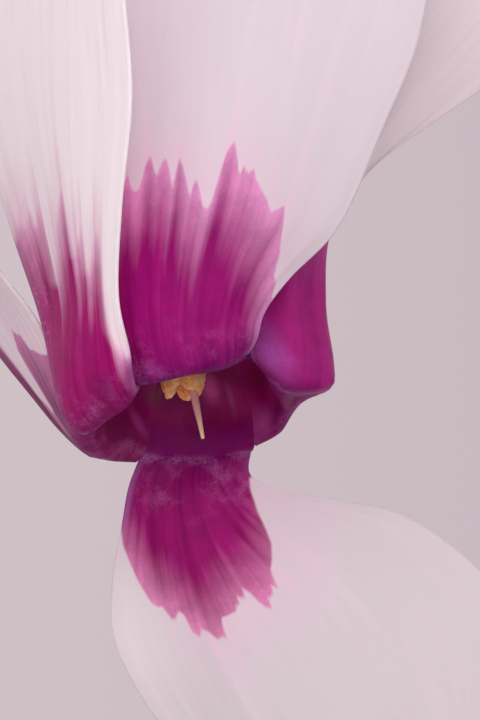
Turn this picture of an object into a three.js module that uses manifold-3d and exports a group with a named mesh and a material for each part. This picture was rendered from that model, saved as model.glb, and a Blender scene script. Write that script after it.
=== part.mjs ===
// Potted cyclamen in bloom. Millimetres, +Z up, origin at the middle of the pot's underside.
import * as THREE from 'three';
import { mergeVertices } from 'three/addons/utils/BufferGeometryUtils.js';
import Module from 'manifold-3d';

const wasm = await Module();
wasm.setup();

const V = (x, y, z) => new THREE.Vector3(x, y, z);
const rad = THREE.MathUtils.degToRad;

// ---- sizes ----
const GAP = 0.3; // between pieces that touch on the real plant
const POT = { base: 42, neck: 55, lip: 65, wall: 6, floor: 8, band: 87, height: 115, sides: 36 };
const DRAIN = { radius: 5, circle: 26, count: 3 };
const SOIL_TOP = 103;
const TUBER = { radius: 28, middle: 102, up: 15, down: 13, sides: 20 };
const HOLE_DEPTH = 6;
const LEAF_STALK = 1.7;
const BLOOM_STALK = 1.6;
const BLADE = 0.9; // leaf thickness
const PETAL = 0.8; // petal thickness
const THROAT = { radius: 6.3, top: 6.6, rim: 0.8 }; // the tube the petals join in

// ---- colours ----
const COLOURS = {
  pot: '#b5694a', soil: '#3a2c24', tuber: '#6d5240', leaf: '#47683f', stalk: '#8c5a4a',
  petals: '#d9a9c4', anthers: '#c3803f', style: '#c98f7c',
};

// ---- solid helpers ----
function geometry(points, faces) {
  const g = new THREE.BufferGeometry();
  g.setAttribute('position', new THREE.Float32BufferAttribute(points.flatMap((p) => [p.x, p.y, p.z]), 3));
  g.setIndex(faces.flat());
  return g;
}

function solid({ points, faces }) {
  return new wasm.Manifold(new wasm.Mesh({
    numProp: 3,
    vertProperties: new Float32Array(points.flatMap((p) => [p.x, p.y, p.z])),
    triVerts: new Uint32Array(faces.flat()),
  }));
}

// A closed three.js shape as a solid: doubled vertices joined, empty triangles on the axis dropped.
function solidOf(shape) {
  shape.deleteAttribute('normal');
  shape.deleteAttribute('uv');
  const g = mergeVertices(shape, 1e-4);
  const at = g.index.array;
  const faces = [];
  for (let i = 0; i < at.length; i += 3) {
    const [a, b, c] = [at[i], at[i + 1], at[i + 2]];
    if (a !== b && b !== c && c !== a) faces.push(a, b, c);
  }
  return new wasm.Manifold(new wasm.Mesh({
    numProp: 3, vertProperties: new Float32Array(g.getAttribute('position').array), triVerts: new Uint32Array(faces),
  }));
}

// Turned form about the Z axis: profile of [radius, height] from the axis round the outside and back to it.
function turned(profile, sides) {
  const g = new THREE.LatheGeometry(profile.map(([r, z]) => new THREE.Vector2(r, z)), sides);
  return g.rotateX(Math.PI / 2);
}

// Round hole tool standing on [x, y, z].
function drill(radius, height, sides, x, y, z) {
  return solidOf(new THREE.CylinderGeometry(radius, radius, height, sides).rotateX(Math.PI / 2)
    .translate(x, y, z + height / 2));
}

function solidGeometry(manifold) {
  const mesh = manifold.getMesh();
  const g = new THREE.BufferGeometry();
  g.setAttribute('position', new THREE.BufferAttribute(new Float32Array(mesh.vertProperties), 3));
  g.setIndex(new THREE.BufferAttribute(new Uint32Array(mesh.triVerts), 1));
  return g;
}

// Closed skin through rings of equal count, each end closed on its middle point.
function ringSkin(rings, first, last) {
  const n = rings[0].length;
  const points = [first, ...rings.flat(), last];
  const faces = [];
  const at = (r, i) => 1 + r * n + (i % n);
  for (let i = 0; i < n; i++) faces.push([0, at(0, i + 1), at(0, i)]);
  for (let r = 0; r + 1 < rings.length; r++) {
    for (let i = 0; i < n; i++) {
      faces.push([at(r, i), at(r, i + 1), at(r + 1, i + 1)], [at(r, i), at(r + 1, i + 1), at(r + 1, i)]);
    }
  }
  const end = points.length - 1;
  for (let i = 0; i < n; i++) faces.push([at(rings.length - 1, i), at(rings.length - 1, i + 1), end]);
  return { points, faces };
}

// Round stem along a path, its thickness given along the path from 0 to 1.
function stem(path, thick, sides = 6) {
  const ahead = path.map((p, i) => path[Math.min(i + 1, path.length - 1)].clone()
    .sub(path[Math.max(i - 1, 0)]).normalize());
  let side = V(1, 0, 0).addScaledVector(ahead[0], -ahead[0].x).normalize();
  const rings = path.map((p, i) => {
    side = side.clone().addScaledVector(ahead[i], -side.dot(ahead[i])).normalize();
    const other = ahead[i].clone().cross(side);
    const r = thick(i / (path.length - 1));
    const ring = [];
    for (let k = 0; k < sides; k++) {
      const a = (k / sides) * 2 * Math.PI;
      ring.push(p.clone().addScaledVector(side, r * Math.cos(a)).addScaledVector(other, r * Math.sin(a)));
    }
    return ring;
  });
  return ringSkin(rings, path[0].clone(), path.at(-1).clone());
}

function curve(points, perSpan) {
  const c = new THREE.CatmullRomCurve3(points, false, 'centripetal');
  const n = Math.round(perSpan * (points.length - 1));
  return Array.from({ length: n + 1 }, (_, i) => c.getPoint(i / n));
}

// Thin sheet of welded triangles given a thickness, both faces split alike.
function sheetSolid(points, triangles, thick) {
  const normals = points.map(() => V(0, 0, 0));
  const sides = new Map();
  for (const [a, b, c] of triangles) {
    const n = points[b].clone().sub(points[a]).cross(points[c].clone().sub(points[a]));
    for (const i of [a, b, c]) normals[i].add(n);
    for (const [p, q] of [[a, b], [b, c], [c, a]]) {
      if (sides.has(`${q},${p}`)) sides.delete(`${q},${p}`);
      else sides.set(`${p},${q}`, [p, q]);
    }
  }
  const n = points.length;
  const half = (s) => points.map((p, i) => p.clone().addScaledVector(normals[i].clone().normalize(), s * thick / 2));
  const faces = [];
  for (const [a, b, c] of triangles) faces.push([a, b, c], [n + a, n + c, n + b]);
  for (const [p, q] of sides.values()) faces.push([q, p, n + p], [q, n + p, n + q]);
  return { points: [...half(1), ...half(-1)], faces };
}

// Joins grids of points edge to edge into one sheet.
function weld(grids) {
  const points = [];
  const triangles = [];
  const seen = new Map();
  const put = (p) => {
    const key = [p.x, p.y, p.z].map((c) => Math.round(c * 1e3)).join();
    if (!seen.has(key)) {
      seen.set(key, points.length);
      points.push(p);
    }
    return seen.get(key);
  };
  for (const grid of grids) {
    const ids = grid.map((row) => row.map(put));
    for (let j = 0; j + 1 < ids.length; j++) {
      for (let i = 0; i + 1 < ids[j].length; i++) {
        const [a, b, c, d] = [ids[j][i], ids[j][i + 1], ids[j + 1][i + 1], ids[j + 1][i]];
        if (a !== b) triangles.push([a, b, c]);
        triangles.push([a, c, d]);
      }
    }
  }
  return { points, triangles };
}

// Smooth curve through points at even steps, t counted in points.
function through(list, t) {
  const n = list.length;
  const get = (i) => {
    if (i < 0) return list[0].clone().multiplyScalar(2).sub(list[1]);
    if (i > n - 1) return list[n - 1].clone().multiplyScalar(2).sub(list[n - 2]);
    return list[i];
  };
  const i = Math.min(Math.floor(t), n - 2);
  const u = t - i;
  const [a, b, c, d] = [get(i - 1), get(i), get(i + 1), get(i + 2)];
  const mix = (k) => 0.5 * (2 * b[k] + (c[k] - a[k]) * u + (2 * a[k] - 5 * b[k] + 4 * c[k] - d[k]) * u * u
    + (3 * b[k] - a[k] - 3 * c[k] + d[k]) * u * u * u);
  return V(mix('x'), mix('y'), mix('z'));
}

function between(table, s) {
  let k = 0;
  while (k < table.length - 2 && s > table[k + 1][0]) k++;
  const [[s0, v0], [s1, v1]] = [table[k], table[k + 1]];
  return v0 + ((v1 - v0) * (s - s0)) / (s1 - s0);
}

// ---- pot, compost and tuber ----
function pot() {
  const inner = POT.wall;
  let out = solidOf(turned([
    [0, 0], [POT.base, 0], [POT.base + 1, 1.5], [POT.neck, POT.band - 1], [POT.lip - 3.5, POT.band],
    [POT.lip - 0.3, POT.height - 2], [POT.lip - 1.5, POT.height], [POT.lip - inner + 1, POT.height],
    [POT.lip - inner, POT.height - 1.5], [POT.neck - inner + 3, POT.band], [POT.base - inner + 2, POT.floor], [0, POT.floor],
  ], POT.sides));
  for (let k = 0; k < DRAIN.count; k++) {
    const a = rad(30 + (360 / DRAIN.count) * k);
    out = out.subtract(drill(DRAIN.radius, POT.floor + 4, 10, DRAIN.circle * Math.cos(a), DRAIN.circle * Math.sin(a), -2));
  }
  return out;
}

// The tuber's outline, or the same grown all round by a clearance.
function tuberShape(grow) {
  const profile = [[0, TUBER.middle - TUBER.down - grow]];
  for (const h of [-0.97, -0.75, -0.35, 0.1, 0.5, 0.8, 0.95]) {
    const z = TUBER.middle + h * (h < 0 ? TUBER.down : TUBER.up) + Math.sign(h) * grow;
    profile.push([TUBER.radius * Math.pow(1 - Math.pow(Math.abs(h), 2.6), 0.42) + grow, z]);
  }
  profile.push([0, TUBER.middle + TUBER.up + grow]);
  return turned(profile, TUBER.sides);
}

function soil() {
  const inside = [[POT.floor, POT.base - POT.wall + 2], [POT.band, POT.neck - POT.wall + 3],
    [POT.height - 1.5, POT.lip - POT.wall]];
  const r = (z) => between(inside, z) - GAP - 0.1;
  const low = POT.floor + GAP;
  const shape = turned([
    [0, low], [r(low), low], [r(POT.band), POT.band], [r(SOIL_TOP - 2), SOIL_TOP - 2], [r(SOIL_TOP) - 9, SOIL_TOP - 1],
    [TUBER.radius + 8, SOIL_TOP + 1], [0, SOIL_TOP + 1],
  ], POT.sides);
  const at = shape.getAttribute('position');
  for (let i = 0; i < at.count; i++) { // uneven top
    const [x, y, z] = [at.getX(i), at.getY(i), at.getZ(i)];
    if (z > SOIL_TOP - 1.5) at.setZ(i, z + 0.8 * Math.sin(x * 0.23) * Math.cos(y * 0.19 + 1));
  }
  return solidOf(shape).subtract(solidOf(tuberShape(GAP + 0.05)));
}

// ---- leaves: heart-shaped toothed blades ----
const HEART = [[0, 1], [14, 0.95], [28, 0.885], [42, 0.835], [56, 0.8], [70, 0.77], [84, 0.75], [98, 0.74], [112, 0.73],
  [126, 0.71], [139, 0.68], [151, 0.62], [161, 0.49], [170, 0.27], [180, 0.11]];
const TOOTH = 0.022;

// az: side of the plant, out and up: where blade meets stalk, long: from there to the tip, dip: fall of the blade outward.
const LEAVES = [
  { az: 20, out: 44, up: 204, long: 40, dip: 21, roll: 1, foot: [9, 3] },
  { az: 157, out: 45, up: 199, long: 41, dip: 20, roll: -4, foot: [-9, 4] },
  { az: 295, out: 48, up: 194, long: 43, dip: 22, roll: 3, foot: [5, -11] },
  { az: 72, out: 51, up: 189, long: 45, dip: 20, roll: -3, foot: [5, 12] },
  { az: 210, out: 53, up: 184, long: 46, dip: 21, roll: 3, foot: [-12, -6] },
  { az: 347, out: 56, up: 179, long: 47, dip: 20, roll: -3, foot: [15, -4] },
  { az: 125, out: 59, up: 173, long: 48, dip: 20, roll: 3, foot: [-8, 13] },
  { az: 262, out: 62, up: 167, long: 49, dip: 21, roll: -3, foot: [-2, -16] },
  { az: 40, out: 65, up: 162, long: 50, dip: 20, roll: 3, foot: [15, 11] },
  { az: 177, out: 68, up: 157, long: 50, dip: 20, roll: -3, foot: [-17, 1] },
  { az: 315, out: 71, up: 152, long: 50, dip: 21, roll: 3, foot: [13, -12] },
  { az: 92, out: 74, up: 147, long: 50, dip: 21, roll: -3, foot: [0, 18] },
  { az: 232, out: 77, up: 142, long: 50, dip: 22, roll: 3, foot: [-12, -13] },
  { az: 7, out: 80, up: 138, long: 50, dip: 22, roll: -3, foot: [20, 3] },
  { az: 145, out: 82, up: 134, long: 49, dip: 23, roll: 3, foot: [-16, 9] },
  { az: 282, out: 84, up: 130, long: 48, dip: 23, roll: -3, foot: [5, -19] },
];

function leafFrame(leaf) {
  const out = V(Math.cos(rad(leaf.az)), Math.sin(rad(leaf.az)), 0);
  const along = out.clone().multiplyScalar(Math.cos(rad(leaf.dip))).add(V(0, 0, -Math.sin(rad(leaf.dip))));
  const flat = V(0, 0, 1).cross(out);
  const up0 = along.clone().cross(flat);
  const across = flat.clone().multiplyScalar(Math.cos(rad(leaf.roll))).addScaledVector(up0, Math.sin(rad(leaf.roll)));
  const up = along.clone().cross(across);
  const middle = out.clone().multiplyScalar(leaf.out).add(V(0, 0, leaf.up));
  return { out, along, across, up, middle };
}

// Rise of the blade over its own flat plane: domed, waved at the margin.
function bladeRise(part, turn, long, k) {
  const wave = 1.6 * Math.sin(5 * turn + k * 1.7) + 0.9 * Math.sin(9 * turn + k * 2.9);
  return -0.14 * long * part * part + wave * Math.pow(part, 3) * (Math.abs(turn) > 2.6 ? 0.4 : 1);
}

function leaf(spec, k) {
  const { out, along, across, up, middle } = leafFrame(spec);
  const turns = [...HEART.slice(0, -1).map(([a]) => a), ...HEART.slice(1).reverse().map(([a]) => a - 2 * a)];
  const spot = (part, turn, size) => middle.clone()
    .addScaledVector(along, size * part * Math.cos(turn))
    .addScaledVector(across, size * part * Math.sin(turn))
    .addScaledVector(up, bladeRise(part * size / spec.long, turn, spec.long, k));
  const reach = (a, tooth) => spec.long * (between(HEART, Math.abs(a)) + tooth);
  const half = turns.length / 2;
  const points = [
    middle.clone(),
    ...turns.filter((_, i) => i % 2 === 0).map((a) => spot(0.52, rad(a), reach(a, 0))),
    ...turns.map((a, i) => spot(1, rad(a), reach(a, Math.abs(a) < 172 ? (i % 2 ? TOOTH : -TOOTH) : 0))),
  ];
  const triangles = [];
  for (let i = 0; i < half; i++) {
    const [p, q] = [1 + i, 1 + ((i + 1) % half)];
    const [a, b, c] = [0, 1, 2].map((d) => 1 + half + ((2 * i + d) % (2 * half)));
    triangles.push([0, p, q], [p, a, b], [p, b, q], [q, b, c]);
  }
  const blade = sheetSolid(points, triangles, BLADE);
  const [fx, fy] = spec.foot;
  const foot = V(fx, fy, footHeight(fx, fy));
  const rise = middle.z - foot.z;
  const path = curve([
    foot.clone().add(V(0, 0, -HOLE_DEPTH + GAP + 0.1)), foot.clone().add(V(0, 0, 3)),
    foot.clone().lerp(middle, 0.3).add(V(0, 0, rise * 0.13)).addScaledVector(out, -3),
    foot.clone().lerp(middle, 0.7).add(V(0, 0, rise * 0.12)).addScaledVector(out, 1),
    middle.clone().addScaledVector(up, -0.1),
  ], 1.5);
  const stalk = stem(path, (t) => LEAF_STALK * (1 - 0.25 * t));
  return solid(blade).add(solid(stalk));
}

function footHeight(x, y) {
  const r = Math.hypot(x, y) / TUBER.radius;
  return TUBER.middle + TUBER.up * Math.pow(Math.max(0, 1 - Math.pow(r, 2.4)), 0.36);
}

// ---- blooms ----
// mouth: middle of the bloom's mouth; faces: compass angle of its front; nod: how far its crown leans back.
const BLOOMS = [
  { mouth: V(-64, -44, 268), faces: -90, nod: 12.9, foot: [-5, -4],
    via: [V(-63, -29.5, 254), V(-60, -27, 240), V(-50, -23, 225), V(-31, -15, 207), V(-14, -8, 184)] },
  { mouth: V(14, 46, 292), faces: 80, nod: 8, foot: [1, 4], via: [V(11.5, 32, 272), V(9, 24, 240), V(5, 13, 200)] },
  { mouth: V(54, -38, 272), faces: -35, nod: 14, foot: [7, -5],
    via: [V(43, -30, 254), V(36, -25, 236), V(24, -16, 216), V(13, -9, 190)] },
  { mouth: V(56, 28, 262), faces: 28, nod: 10, foot: [10, 8],
    via: [V(44.5, 22, 246), V(37, 18, 231), V(25, 13, 214), V(14, 9, 190)] },
  { mouth: V(4, -14, 320), faces: -110, nod: 6, foot: [0, -4], via: [V(8, -1, 300), V(6, -2, 240)] },
  { mouth: V(-20, 56, 256), faces: 115, nod: 12, foot: [-4, 9],
    via: [V(-14.5, 44, 240), V(-12, 36, 226), V(-9, 24, 210), V(-5, 13, 186)] },
];
const CROOK = [V(0, 0, 7.9), V(0, 0.4, 10.2), V(0, 3.2, 13), V(0, 6.8, 13.3), V(0, 10, 11), V(0, 11.8, 6.2), V(0, 12.3, 0)];

function bloomFrame({ mouth, faces, nod }) {
  const front = V(Math.cos(rad(faces)), Math.sin(rad(faces)), 0);
  const axis = V(0, 0, Math.cos(rad(nod))).addScaledVector(front, -Math.sin(rad(nod)));
  const right = V(0, 0, 1).cross(front).normalize();
  const back = axis.clone().cross(right);
  return new THREE.Matrix4().makeBasis(right, back, axis).setPosition(mouth);
}

// Point of the throat in the bloom's own frame: turn from the front in degrees, down 0 at the crown to 1 at the rim.
function throat(turn, down, lift = 0) {
  const s = Math.sin((down * Math.PI) / 2);
  const r = THROAT.radius * Math.pow(s, 0.85);
  const z = THROAT.rim + (THROAT.top - THROAT.rim) * Math.cos((down * Math.PI) / 2) + lift * Math.pow(down, 4);
  return V(r * Math.sin(rad(turn)), -r * Math.cos(rad(turn)), z);
}

// Rows of a petal that folds back at the mouth and stands up beside the throat.
const PETAL_LONG = 37;
const WIDTH = [[0, 4.3], [3, 4.6], [9, 6.2], [16, 8.8], [24, 10.8], [31, 9], [35, 5.5], [37, 2.2]];
function foldedPetal(centre, from, to, k, bloom) {
  const columns = [-1, -0.34, 0.34, 1];
  const rows = [];
  for (const down of [0, 0.55, 1]) rows.push(columns.map((v) => throat(from + ((to - from) * (v + 1)) / 2, down)));
  const put = (v, radius, height, half, twist, bow, swirl = 0) => {
    const side = half * v * Math.cos(rad(twist));
    const away = radius + half * v * Math.sin(rad(twist)) + bow;
    const c = rad(centre + swirl);
    return V(away * Math.sin(c) + side * Math.cos(c), -away * Math.cos(c) + side * Math.sin(c), height);
  };
  rows.push(columns.map((v) => put(v, 7.5 - 0.5 * v * v, -0.35, 4.0, 0, 0)));
  rows.push(columns.map((v) => put(v, 8.8 - 0.6 * v * v, 0.9, 4.2, 3, 0)));
  const long = 1 + 0.06 * Math.sin(bloom * 2.1 + k * 1.3);
  const flare = 9.5 + 2 * Math.sin(bloom * 1.3 + k * 2.2);
  for (const s of [3, 9, 16, 24, 31, PETAL_LONG]) {
    const t = s / PETAL_LONG;
    rows.push(columns.map((v) => {
      const clear = Math.abs(centre) > 100 ? 1 - 0.2 * Math.exp(-(((s - 11) / 6) ** 2)) : 1; // room for the stalk
      const half = between(WIDTH, s) * clear;
      const wave = 0.6 * Math.sin(s * 0.37 + k * 2 + bloom) * v * v * Math.min(1, s / 14);
      const away = 9 + flare * Math.pow(t, 1.5);
      return put(v, away, (0.9 + s * 0.96) * (s > 3 ? long : 1), half, 10 + 28 * t, wave - ((half * v) ** 2) / 34, 12 * t * t);
    }));
  }
  return rows;
}

// The bloom seen in the photo, petal by petal. Rows run from the mouth's rim to the tip, each as
// [across, up, forward] from the middle of the mouth in a frame that leans 12 degrees back.
const LEAN = rad(12);
const FRONT_BLOOM = [
  { turns: [-27, 45], rows: [ // front petal
    [[-2.7, 3.3, 5.8], [1.1, 3.3, 7.0], [4.4, 4.3, 4.9]],
    [[-3.0, 3.2, 6.6], [1.0, 3.1, 7.9], [4.4, 4.4, 6.3]],
    [[-3.6, 4.0, 7.1], [0.9, 3.9, 8.7], [4.9, 5.5, 6.8]],
    [[-4.6, 6, 7.2], [0.5, 6.2, 9.2], [5.2, 6.9, 6.7]],
    [[-5.0, 9.5, 6.6], [1.0, 10, 9.4], [6.6, 9.4, 6.3]],
    [[-5.2, 13.5, 5.8], [2.0, 14.5, 9.2], [9.8, 12.8, 5.5]],
    [[-5.6, 19.5, 4.5], [3.0, 20.5, 8.0], [12.6, 19, 4.0]],
    [[-6.5, 26, 2], [4.2, 27.5, 5], [15.2, 25.5, 1.5]],
    [[-5.5, 32, -1], [5.2, 33, 1.5], [15.6, 31.5, -2]],
    [[0, 37, -4], [5.8, 38.5, -3], [11, 36.5, -5]],
    [[4, 39.2, -6], [6, 39.8, -6], [8, 39, -6.2]],
  ] },
  { turns: [277, 333], rows: [ // left front petal, its right margin lapped over the front one
    [[-7.1, 0.1, 1.4], [-5.6, 0.3, 3.8], [-3.6, 2.0, 5.8]],
    [[-8.4, 0.1, 1.9], [-6.3, -0.7, 4.6], [-3.8, 1.8, 7.6]],
    [[-9.1, 1.2, 1.9], [-6.9, 0.4, 5.8], [-3.5, 2.8, 9.2]],
    [[-9.3, 3.0, 1.2], [-7.0, 3.6, 6.4], [-3.8, 4.4, 9.7]],
    [[-10.1, 7.2, -1.5], [-7.0, 8.0, 6.5], [-4.7, 8.2, 9.8]],
    [[-12.3, 13.7, -3], [-7.7, 14, 6.5], [-4.6, 13.8, 10.5]],
    [[-14.3, 21.3, -5], [-8.3, 20.5, 5.5], [-4.0, 20.7, 10.5]],
    [[-15.2, 28, -7], [-8.7, 27.5, 3], [-4.1, 27.3, 8.5]],
    [[-14.7, 33.3, -8], [-8.7, 33.5, -0.5], [-4.7, 32.7, 5]],
    [[-12, 37, -7], [-8.5, 38.2, -4.5], [-5.8, 37, -0.5]],
    [[-10.2, 38.8, -6], [-8.4, 39.6, -5.4], [-6.6, 38.8, -3]],
  ] },
  { turns: [45, 135], rows: [ // right petal, twisted to an edge above its claw
    [[5.0, 4.4, 3.5], [6.9, 2.2, 3.0], [8.4, 1.8, -1.0]],
    [[4.2, 5.6, 4.1], [8.0, 3.2, 4.2], [9.7, 2.9, 0]],
    [[4.0, 7.4, 3.8], [7.5, 6.2, 4.0], [9.3, 5.6, 1.0]],
    [[4.6, 10, 2.4], [7.7, 9.4, 2.4], [9.2, 9.0, 0.8]],
    [[6.0, 13, 0.5], [8.2, 12.4, 0.5], [9.2, 12.2, -0.5]],
    [[6.5, 17, -3], [10, 16, -2.5], [12, 16.8, -4]],
    [[7, 20.5, -5], [12, 20, -4.5], [16.5, 20.2, -6]],
    [[9.5, 27, -7.5], [15.5, 25.5, -7], [21, 23.5, -8]],
    [[13.5, 33.5, -10], [19.5, 31, -9.5], [25, 28, -10]],
    [[18.5, 37, -12.5], [21.5, 35.5, -12], [24.5, 33, -12]],
  ] },
  { turns: [208, 277], rows: [ // left back petal, spreading, seen nearly edge on
    [[-3.8, -2.9, -6.2], [-6.6, -2.0, -3.4], [-7.3, 0.4, -1.0]],
    [[-5.4, -2.7, -7.4], [-7.6, -1.7, -4.6], [-8.1, 0.9, -1.9]],
    [[-7.0, -2.6, -8.4], [-8.2, -0.7, -5.4], [-8.4, 1.6, -2.9]],
    [[-9.1, -0.9, -10], [-9.4, 1.5, -6.2], [-9.2, 3.8, -3.2]],
    [[-11.3, 1.6, -12], [-11, 4.4, -7.2], [-10.4, 6.6, -3.4]],
    [[-13.8, 4.5, -14.5], [-13, 7.8, -8.5], [-12.7, 9.7, -3.6]],
    [[-17, 8.6, -17], [-16.4, 12, -10.5], [-15.5, 13.2, -4.2]],
    [[-20, 13.8, -18], [-20.2, 16.8, -12.5], [-19, 17.8, -6]],
    [[-23.5, 18.6, -17], [-24, 21, -13.5], [-23, 22, -9]],
    [[-26.2, 22.5, -15.5], [-26.6, 23.6, -13.5], [-26, 23.8, -11.5]],
  ] },
  { turns: [135, 208], rows: [ // back petal, hanging and fanned to the right
    [[3.9, -2.4, -6.2], [0.3, -3.0, -6.8], [-3.6, -2.9, -6.2]],
    [[4.0, -4.2, -6.8], [0, -4.9, -6.0], [-4.3, -4.7, -6.9]],
    [[6.9, -5.1, -8], [0.6, -7.8, -5.2], [-4.8, -7.6, -7.4]],
    [[10.5, -5.8, -9], [2.0, -11, -4.6], [-5.4, -11, -7.5]],
    [[14.5, -6.7, -9.5], [3.6, -14.2, -4.2], [-5.4, -14.7, -7]],
    [[18.5, -9.3, -9.5], [5.5, -17.5, -4], [-4.3, -17.5, -6]],
    [[21.5, -12.8, -9], [7.5, -20.8, -4], [-2.5, -20.3, -5]],
    [[22, -18, -8], [9.8, -24, -4.2], [0.5, -23.6, -4]],
    [[19.5, -23.5, -7], [12, -26.6, -4.6], [4.5, -26.5, -4]],
    [[16, -27.8, -5.8], [12.5, -28.6, -5], [9, -28.5, -4.6]],
  ] },
];

// The throat's rim rises where the front and right petals part.
const frontLift = (turn) => 1.9 * Math.exp(-(((turn - 45) / 14) ** 2));

function frontPetal({ turns: [from, to], rows }, frame, mouth) {
  const steps = 4;
  const cols = Array.from({ length: steps + 1 }, (_, i) => i / steps);
  const place = ([x, u, f]) => mouth.clone().add(V(x,
    -u * Math.sin(LEAN) - f * Math.cos(LEAN), u * Math.cos(LEAN) - f * Math.sin(LEAN)));
  const turnAt = (c) => from + (to - from) * c;
  const grid = [0, 0.45, 0.8, 1].map((down) => cols.map((c) =>
    throat(turnAt(c), down, frontLift(turnAt(c))).applyMatrix4(frame)));
  for (const row of rows) {
    const list = row.map(place);
    grid.push(cols.map((c) => through(list, c * (row.length - 1))));
  }
  return grid;
}

function corolla(bloom, k) {
  const frame = bloomFrame(bloom);
  let grids;
  if (k === 0) {
    grids = FRONT_BLOOM.map((petal) => frontPetal(petal, frame, bloom.mouth));
  } else {
    const petals = [[0, -31.5, 31.5], [62, 31.5, 94], [124, 94, 180], [-124, -180, -94], [-62, -94, -31.5]];
    grids = petals.map(([centre, from, to], p) =>
      foldedPetal(centre, from, to, p, k).map((row) => row.map((q) => q.applyMatrix4(frame))));
  }
  const sheet = weld(grids);
  return sheetSolid(sheet.points, sheet.triangles, PETAL);
}

// Five-pointed calyx over the crown of the throat.
function calyx(frame, scale = 1) {
  const tips = 10;
  const at = (down, away, i) => {
    const turn = 36 * i + 18;
    const here = throat(turn, down);
    const next = throat(turn, down + 0.02);
    const last = throat(turn, down - 0.02);
    const tangent = next.sub(last);
    const side = V(Math.cos(rad(turn)), Math.sin(rad(turn)), 0);
    return here.addScaledVector(tangent.cross(side).normalize(), away).multiplyScalar(scale).applyMatrix4(frame);
  };
  const ring = (inner, outer, away) => Array.from({ length: tips }, (_, i) => at(i % 2 ? outer : inner, away, i));
  return ringSkin([ring(0.2, 0.2, 1.15), ring(0.36, 0.58, 1.2), ring(0.34, 0.55, 1.85), ring(0.2, 0.2, 2.0)],
    V(0, 0, 7.6 * scale).applyMatrix4(frame), V(0, 0, 8.7 * scale).applyMatrix4(frame));
}

function bloomStalk(bloom, scale = 1) {
  const frame = bloomFrame(bloom);
  const [fx, fy] = bloom.foot;
  const foot = V(fx, fy, footHeight(fx, fy));
  const path = curve([
    ...CROOK.map((p) => p.clone().multiplyScalar(scale).applyMatrix4(frame)), ...bloom.via,
    foot.clone().add(V(0, 0, 12)), foot.clone().add(V(0, 0, -HOLE_DEPTH + GAP)),
  ], 1.4);
  const stalk = stem(path, (t) => BLOOM_STALK * scale * (t < 0.2 ? 0.85 : 1));
  return solid(stalk).add(solid(calyx(frame, scale)));
}

// Cone of five anthers grown together, hollow at the tip for the style.
function anthers(frame) {
  const ring = (r, z, ridge) => Array.from({ length: 10 }, (_, i) => {
    const a = rad(36 * i);
    const q = r * (i % 2 ? 1 : ridge);
    return V(q * Math.cos(a), q * Math.sin(a), z).applyMatrix4(frame);
  });
  return ringSkin([ring(0.75, 3, 1), ring(0.75, 1.1, 1), ring(1.2, 1.1, 1), ring(1.55, 2.4, 0.88), ring(1.9, 3.9, 0.88),
    ring(1.8, 4.95, 0.9)], V(0, 0, 3).applyMatrix4(frame), V(0, 0, 4.95).applyMatrix4(frame));
}

function style(frame) {
  const path = curve([V(0, 0, 2.7), V(0, 0, 1), V(0.3, 0, 0), V(0.75, 0.1, -1.4)].map((p) => p.applyMatrix4(frame)), 1.4);
  return stem(path, (t) => 0.42 - 0.06 * t);
}

// ---- buds ----
const BUDS = [
  { mouth: V(-30, 12, 250), faces: 160, nod: 20, foot: [-4, 0], via: [V(-20, 8, 234), V(-9, 3, 198)] },
  { mouth: V(34, 8, 243), faces: 10, nod: 18, foot: [6, 1], via: [V(24, 6, 226), V(12, 3, 192)] },
  { mouth: V(20, -40, 238), faces: -65, nod: 24, foot: [2, -8], via: [V(15, -31, 222), V(7, -17, 188)] },
];
const BUD_SCALE = 0.72;

function bud(frame) {
  const steps = [[4.5, 1.3], [3.5, 3], [1.2, 4.2], [-3, 4.9], [-8, 4.5], [-13, 3.4], [-17, 2.1], [-20, 0.8]];
  const rings = steps.map(([z, r], k) => Array.from({ length: 10 }, (_, i) => {
    const a = rad(36 * i + 24 * k);
    const q = r * (i % 2 ? 1 : 0.84);
    return V(q * Math.cos(a), q * Math.sin(a), z).applyMatrix4(frame);
  }));
  rings.reverse();
  return ringSkin(rings, V(0, 0, -21.2).applyMatrix4(frame), V(0, 0, 4.6).applyMatrix4(frame));
}

// ---- tuber with a plain hole for every stalk ----
function tuber() {
  let body = solidOf(tuberShape(0));
  const feet = [...LEAVES, ...BLOOMS, ...BUDS].map((s) => s.foot);
  for (const [x, y] of feet) {
    const z = footHeight(x, y);
    body = body.subtract(drill(3, HOLE_DEPTH + 12, 6, x, y, z - HOLE_DEPTH));
  }
  return body;
}

// ---- assembly ----
const plant = new THREE.Group();
plant.name = 'potted_cyclamen';

function add(name, colour, shape) {
  const g = shape.points ? geometry(shape.points, shape.faces) : solidGeometry(shape);
  const mesh = new THREE.Mesh(g, new THREE.MeshStandardMaterial({ color: colour, roughness: 0.7 }));
  mesh.name = name;
  plant.add(mesh);
}

add('pot', COLOURS.pot, pot());
add('soil', COLOURS.soil, soil());
add('tuber', COLOURS.tuber, tuber());
LEAVES.forEach((spec, k) => add(`leaf_${String(k + 1).padStart(2, '0')}`, COLOURS.leaf, leaf(spec, k)));
BLOOMS.forEach((bloom, k) => {
  const frame = bloomFrame(bloom);
  add(`bloom_${k + 1}_stalk`, COLOURS.stalk, bloomStalk(bloom));
  add(`bloom_${k + 1}_corolla`, COLOURS.petals, corolla(bloom, k));
  add(`bloom_${k + 1}_anthers`, COLOURS.anthers, anthers(frame));
  add(`bloom_${k + 1}_style`, COLOURS.style, style(frame));
});
BUDS.forEach((spec, k) => {
  add(`bud_${k + 1}_stalk`, COLOURS.stalk, bloomStalk(spec, BUD_SCALE));
  add(`bud_${k + 1}_petals`, COLOURS.petals, bud(bloomFrame(spec)));
});

export default plant;
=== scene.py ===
# Potted cyclamen, seen close up at the mouth of its front bloom. The scene is in metres, the tables in mm.
import bpy
import numpy as np
from math import cos, pi, radians, sin
from mathutils import Matrix, Vector


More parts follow.
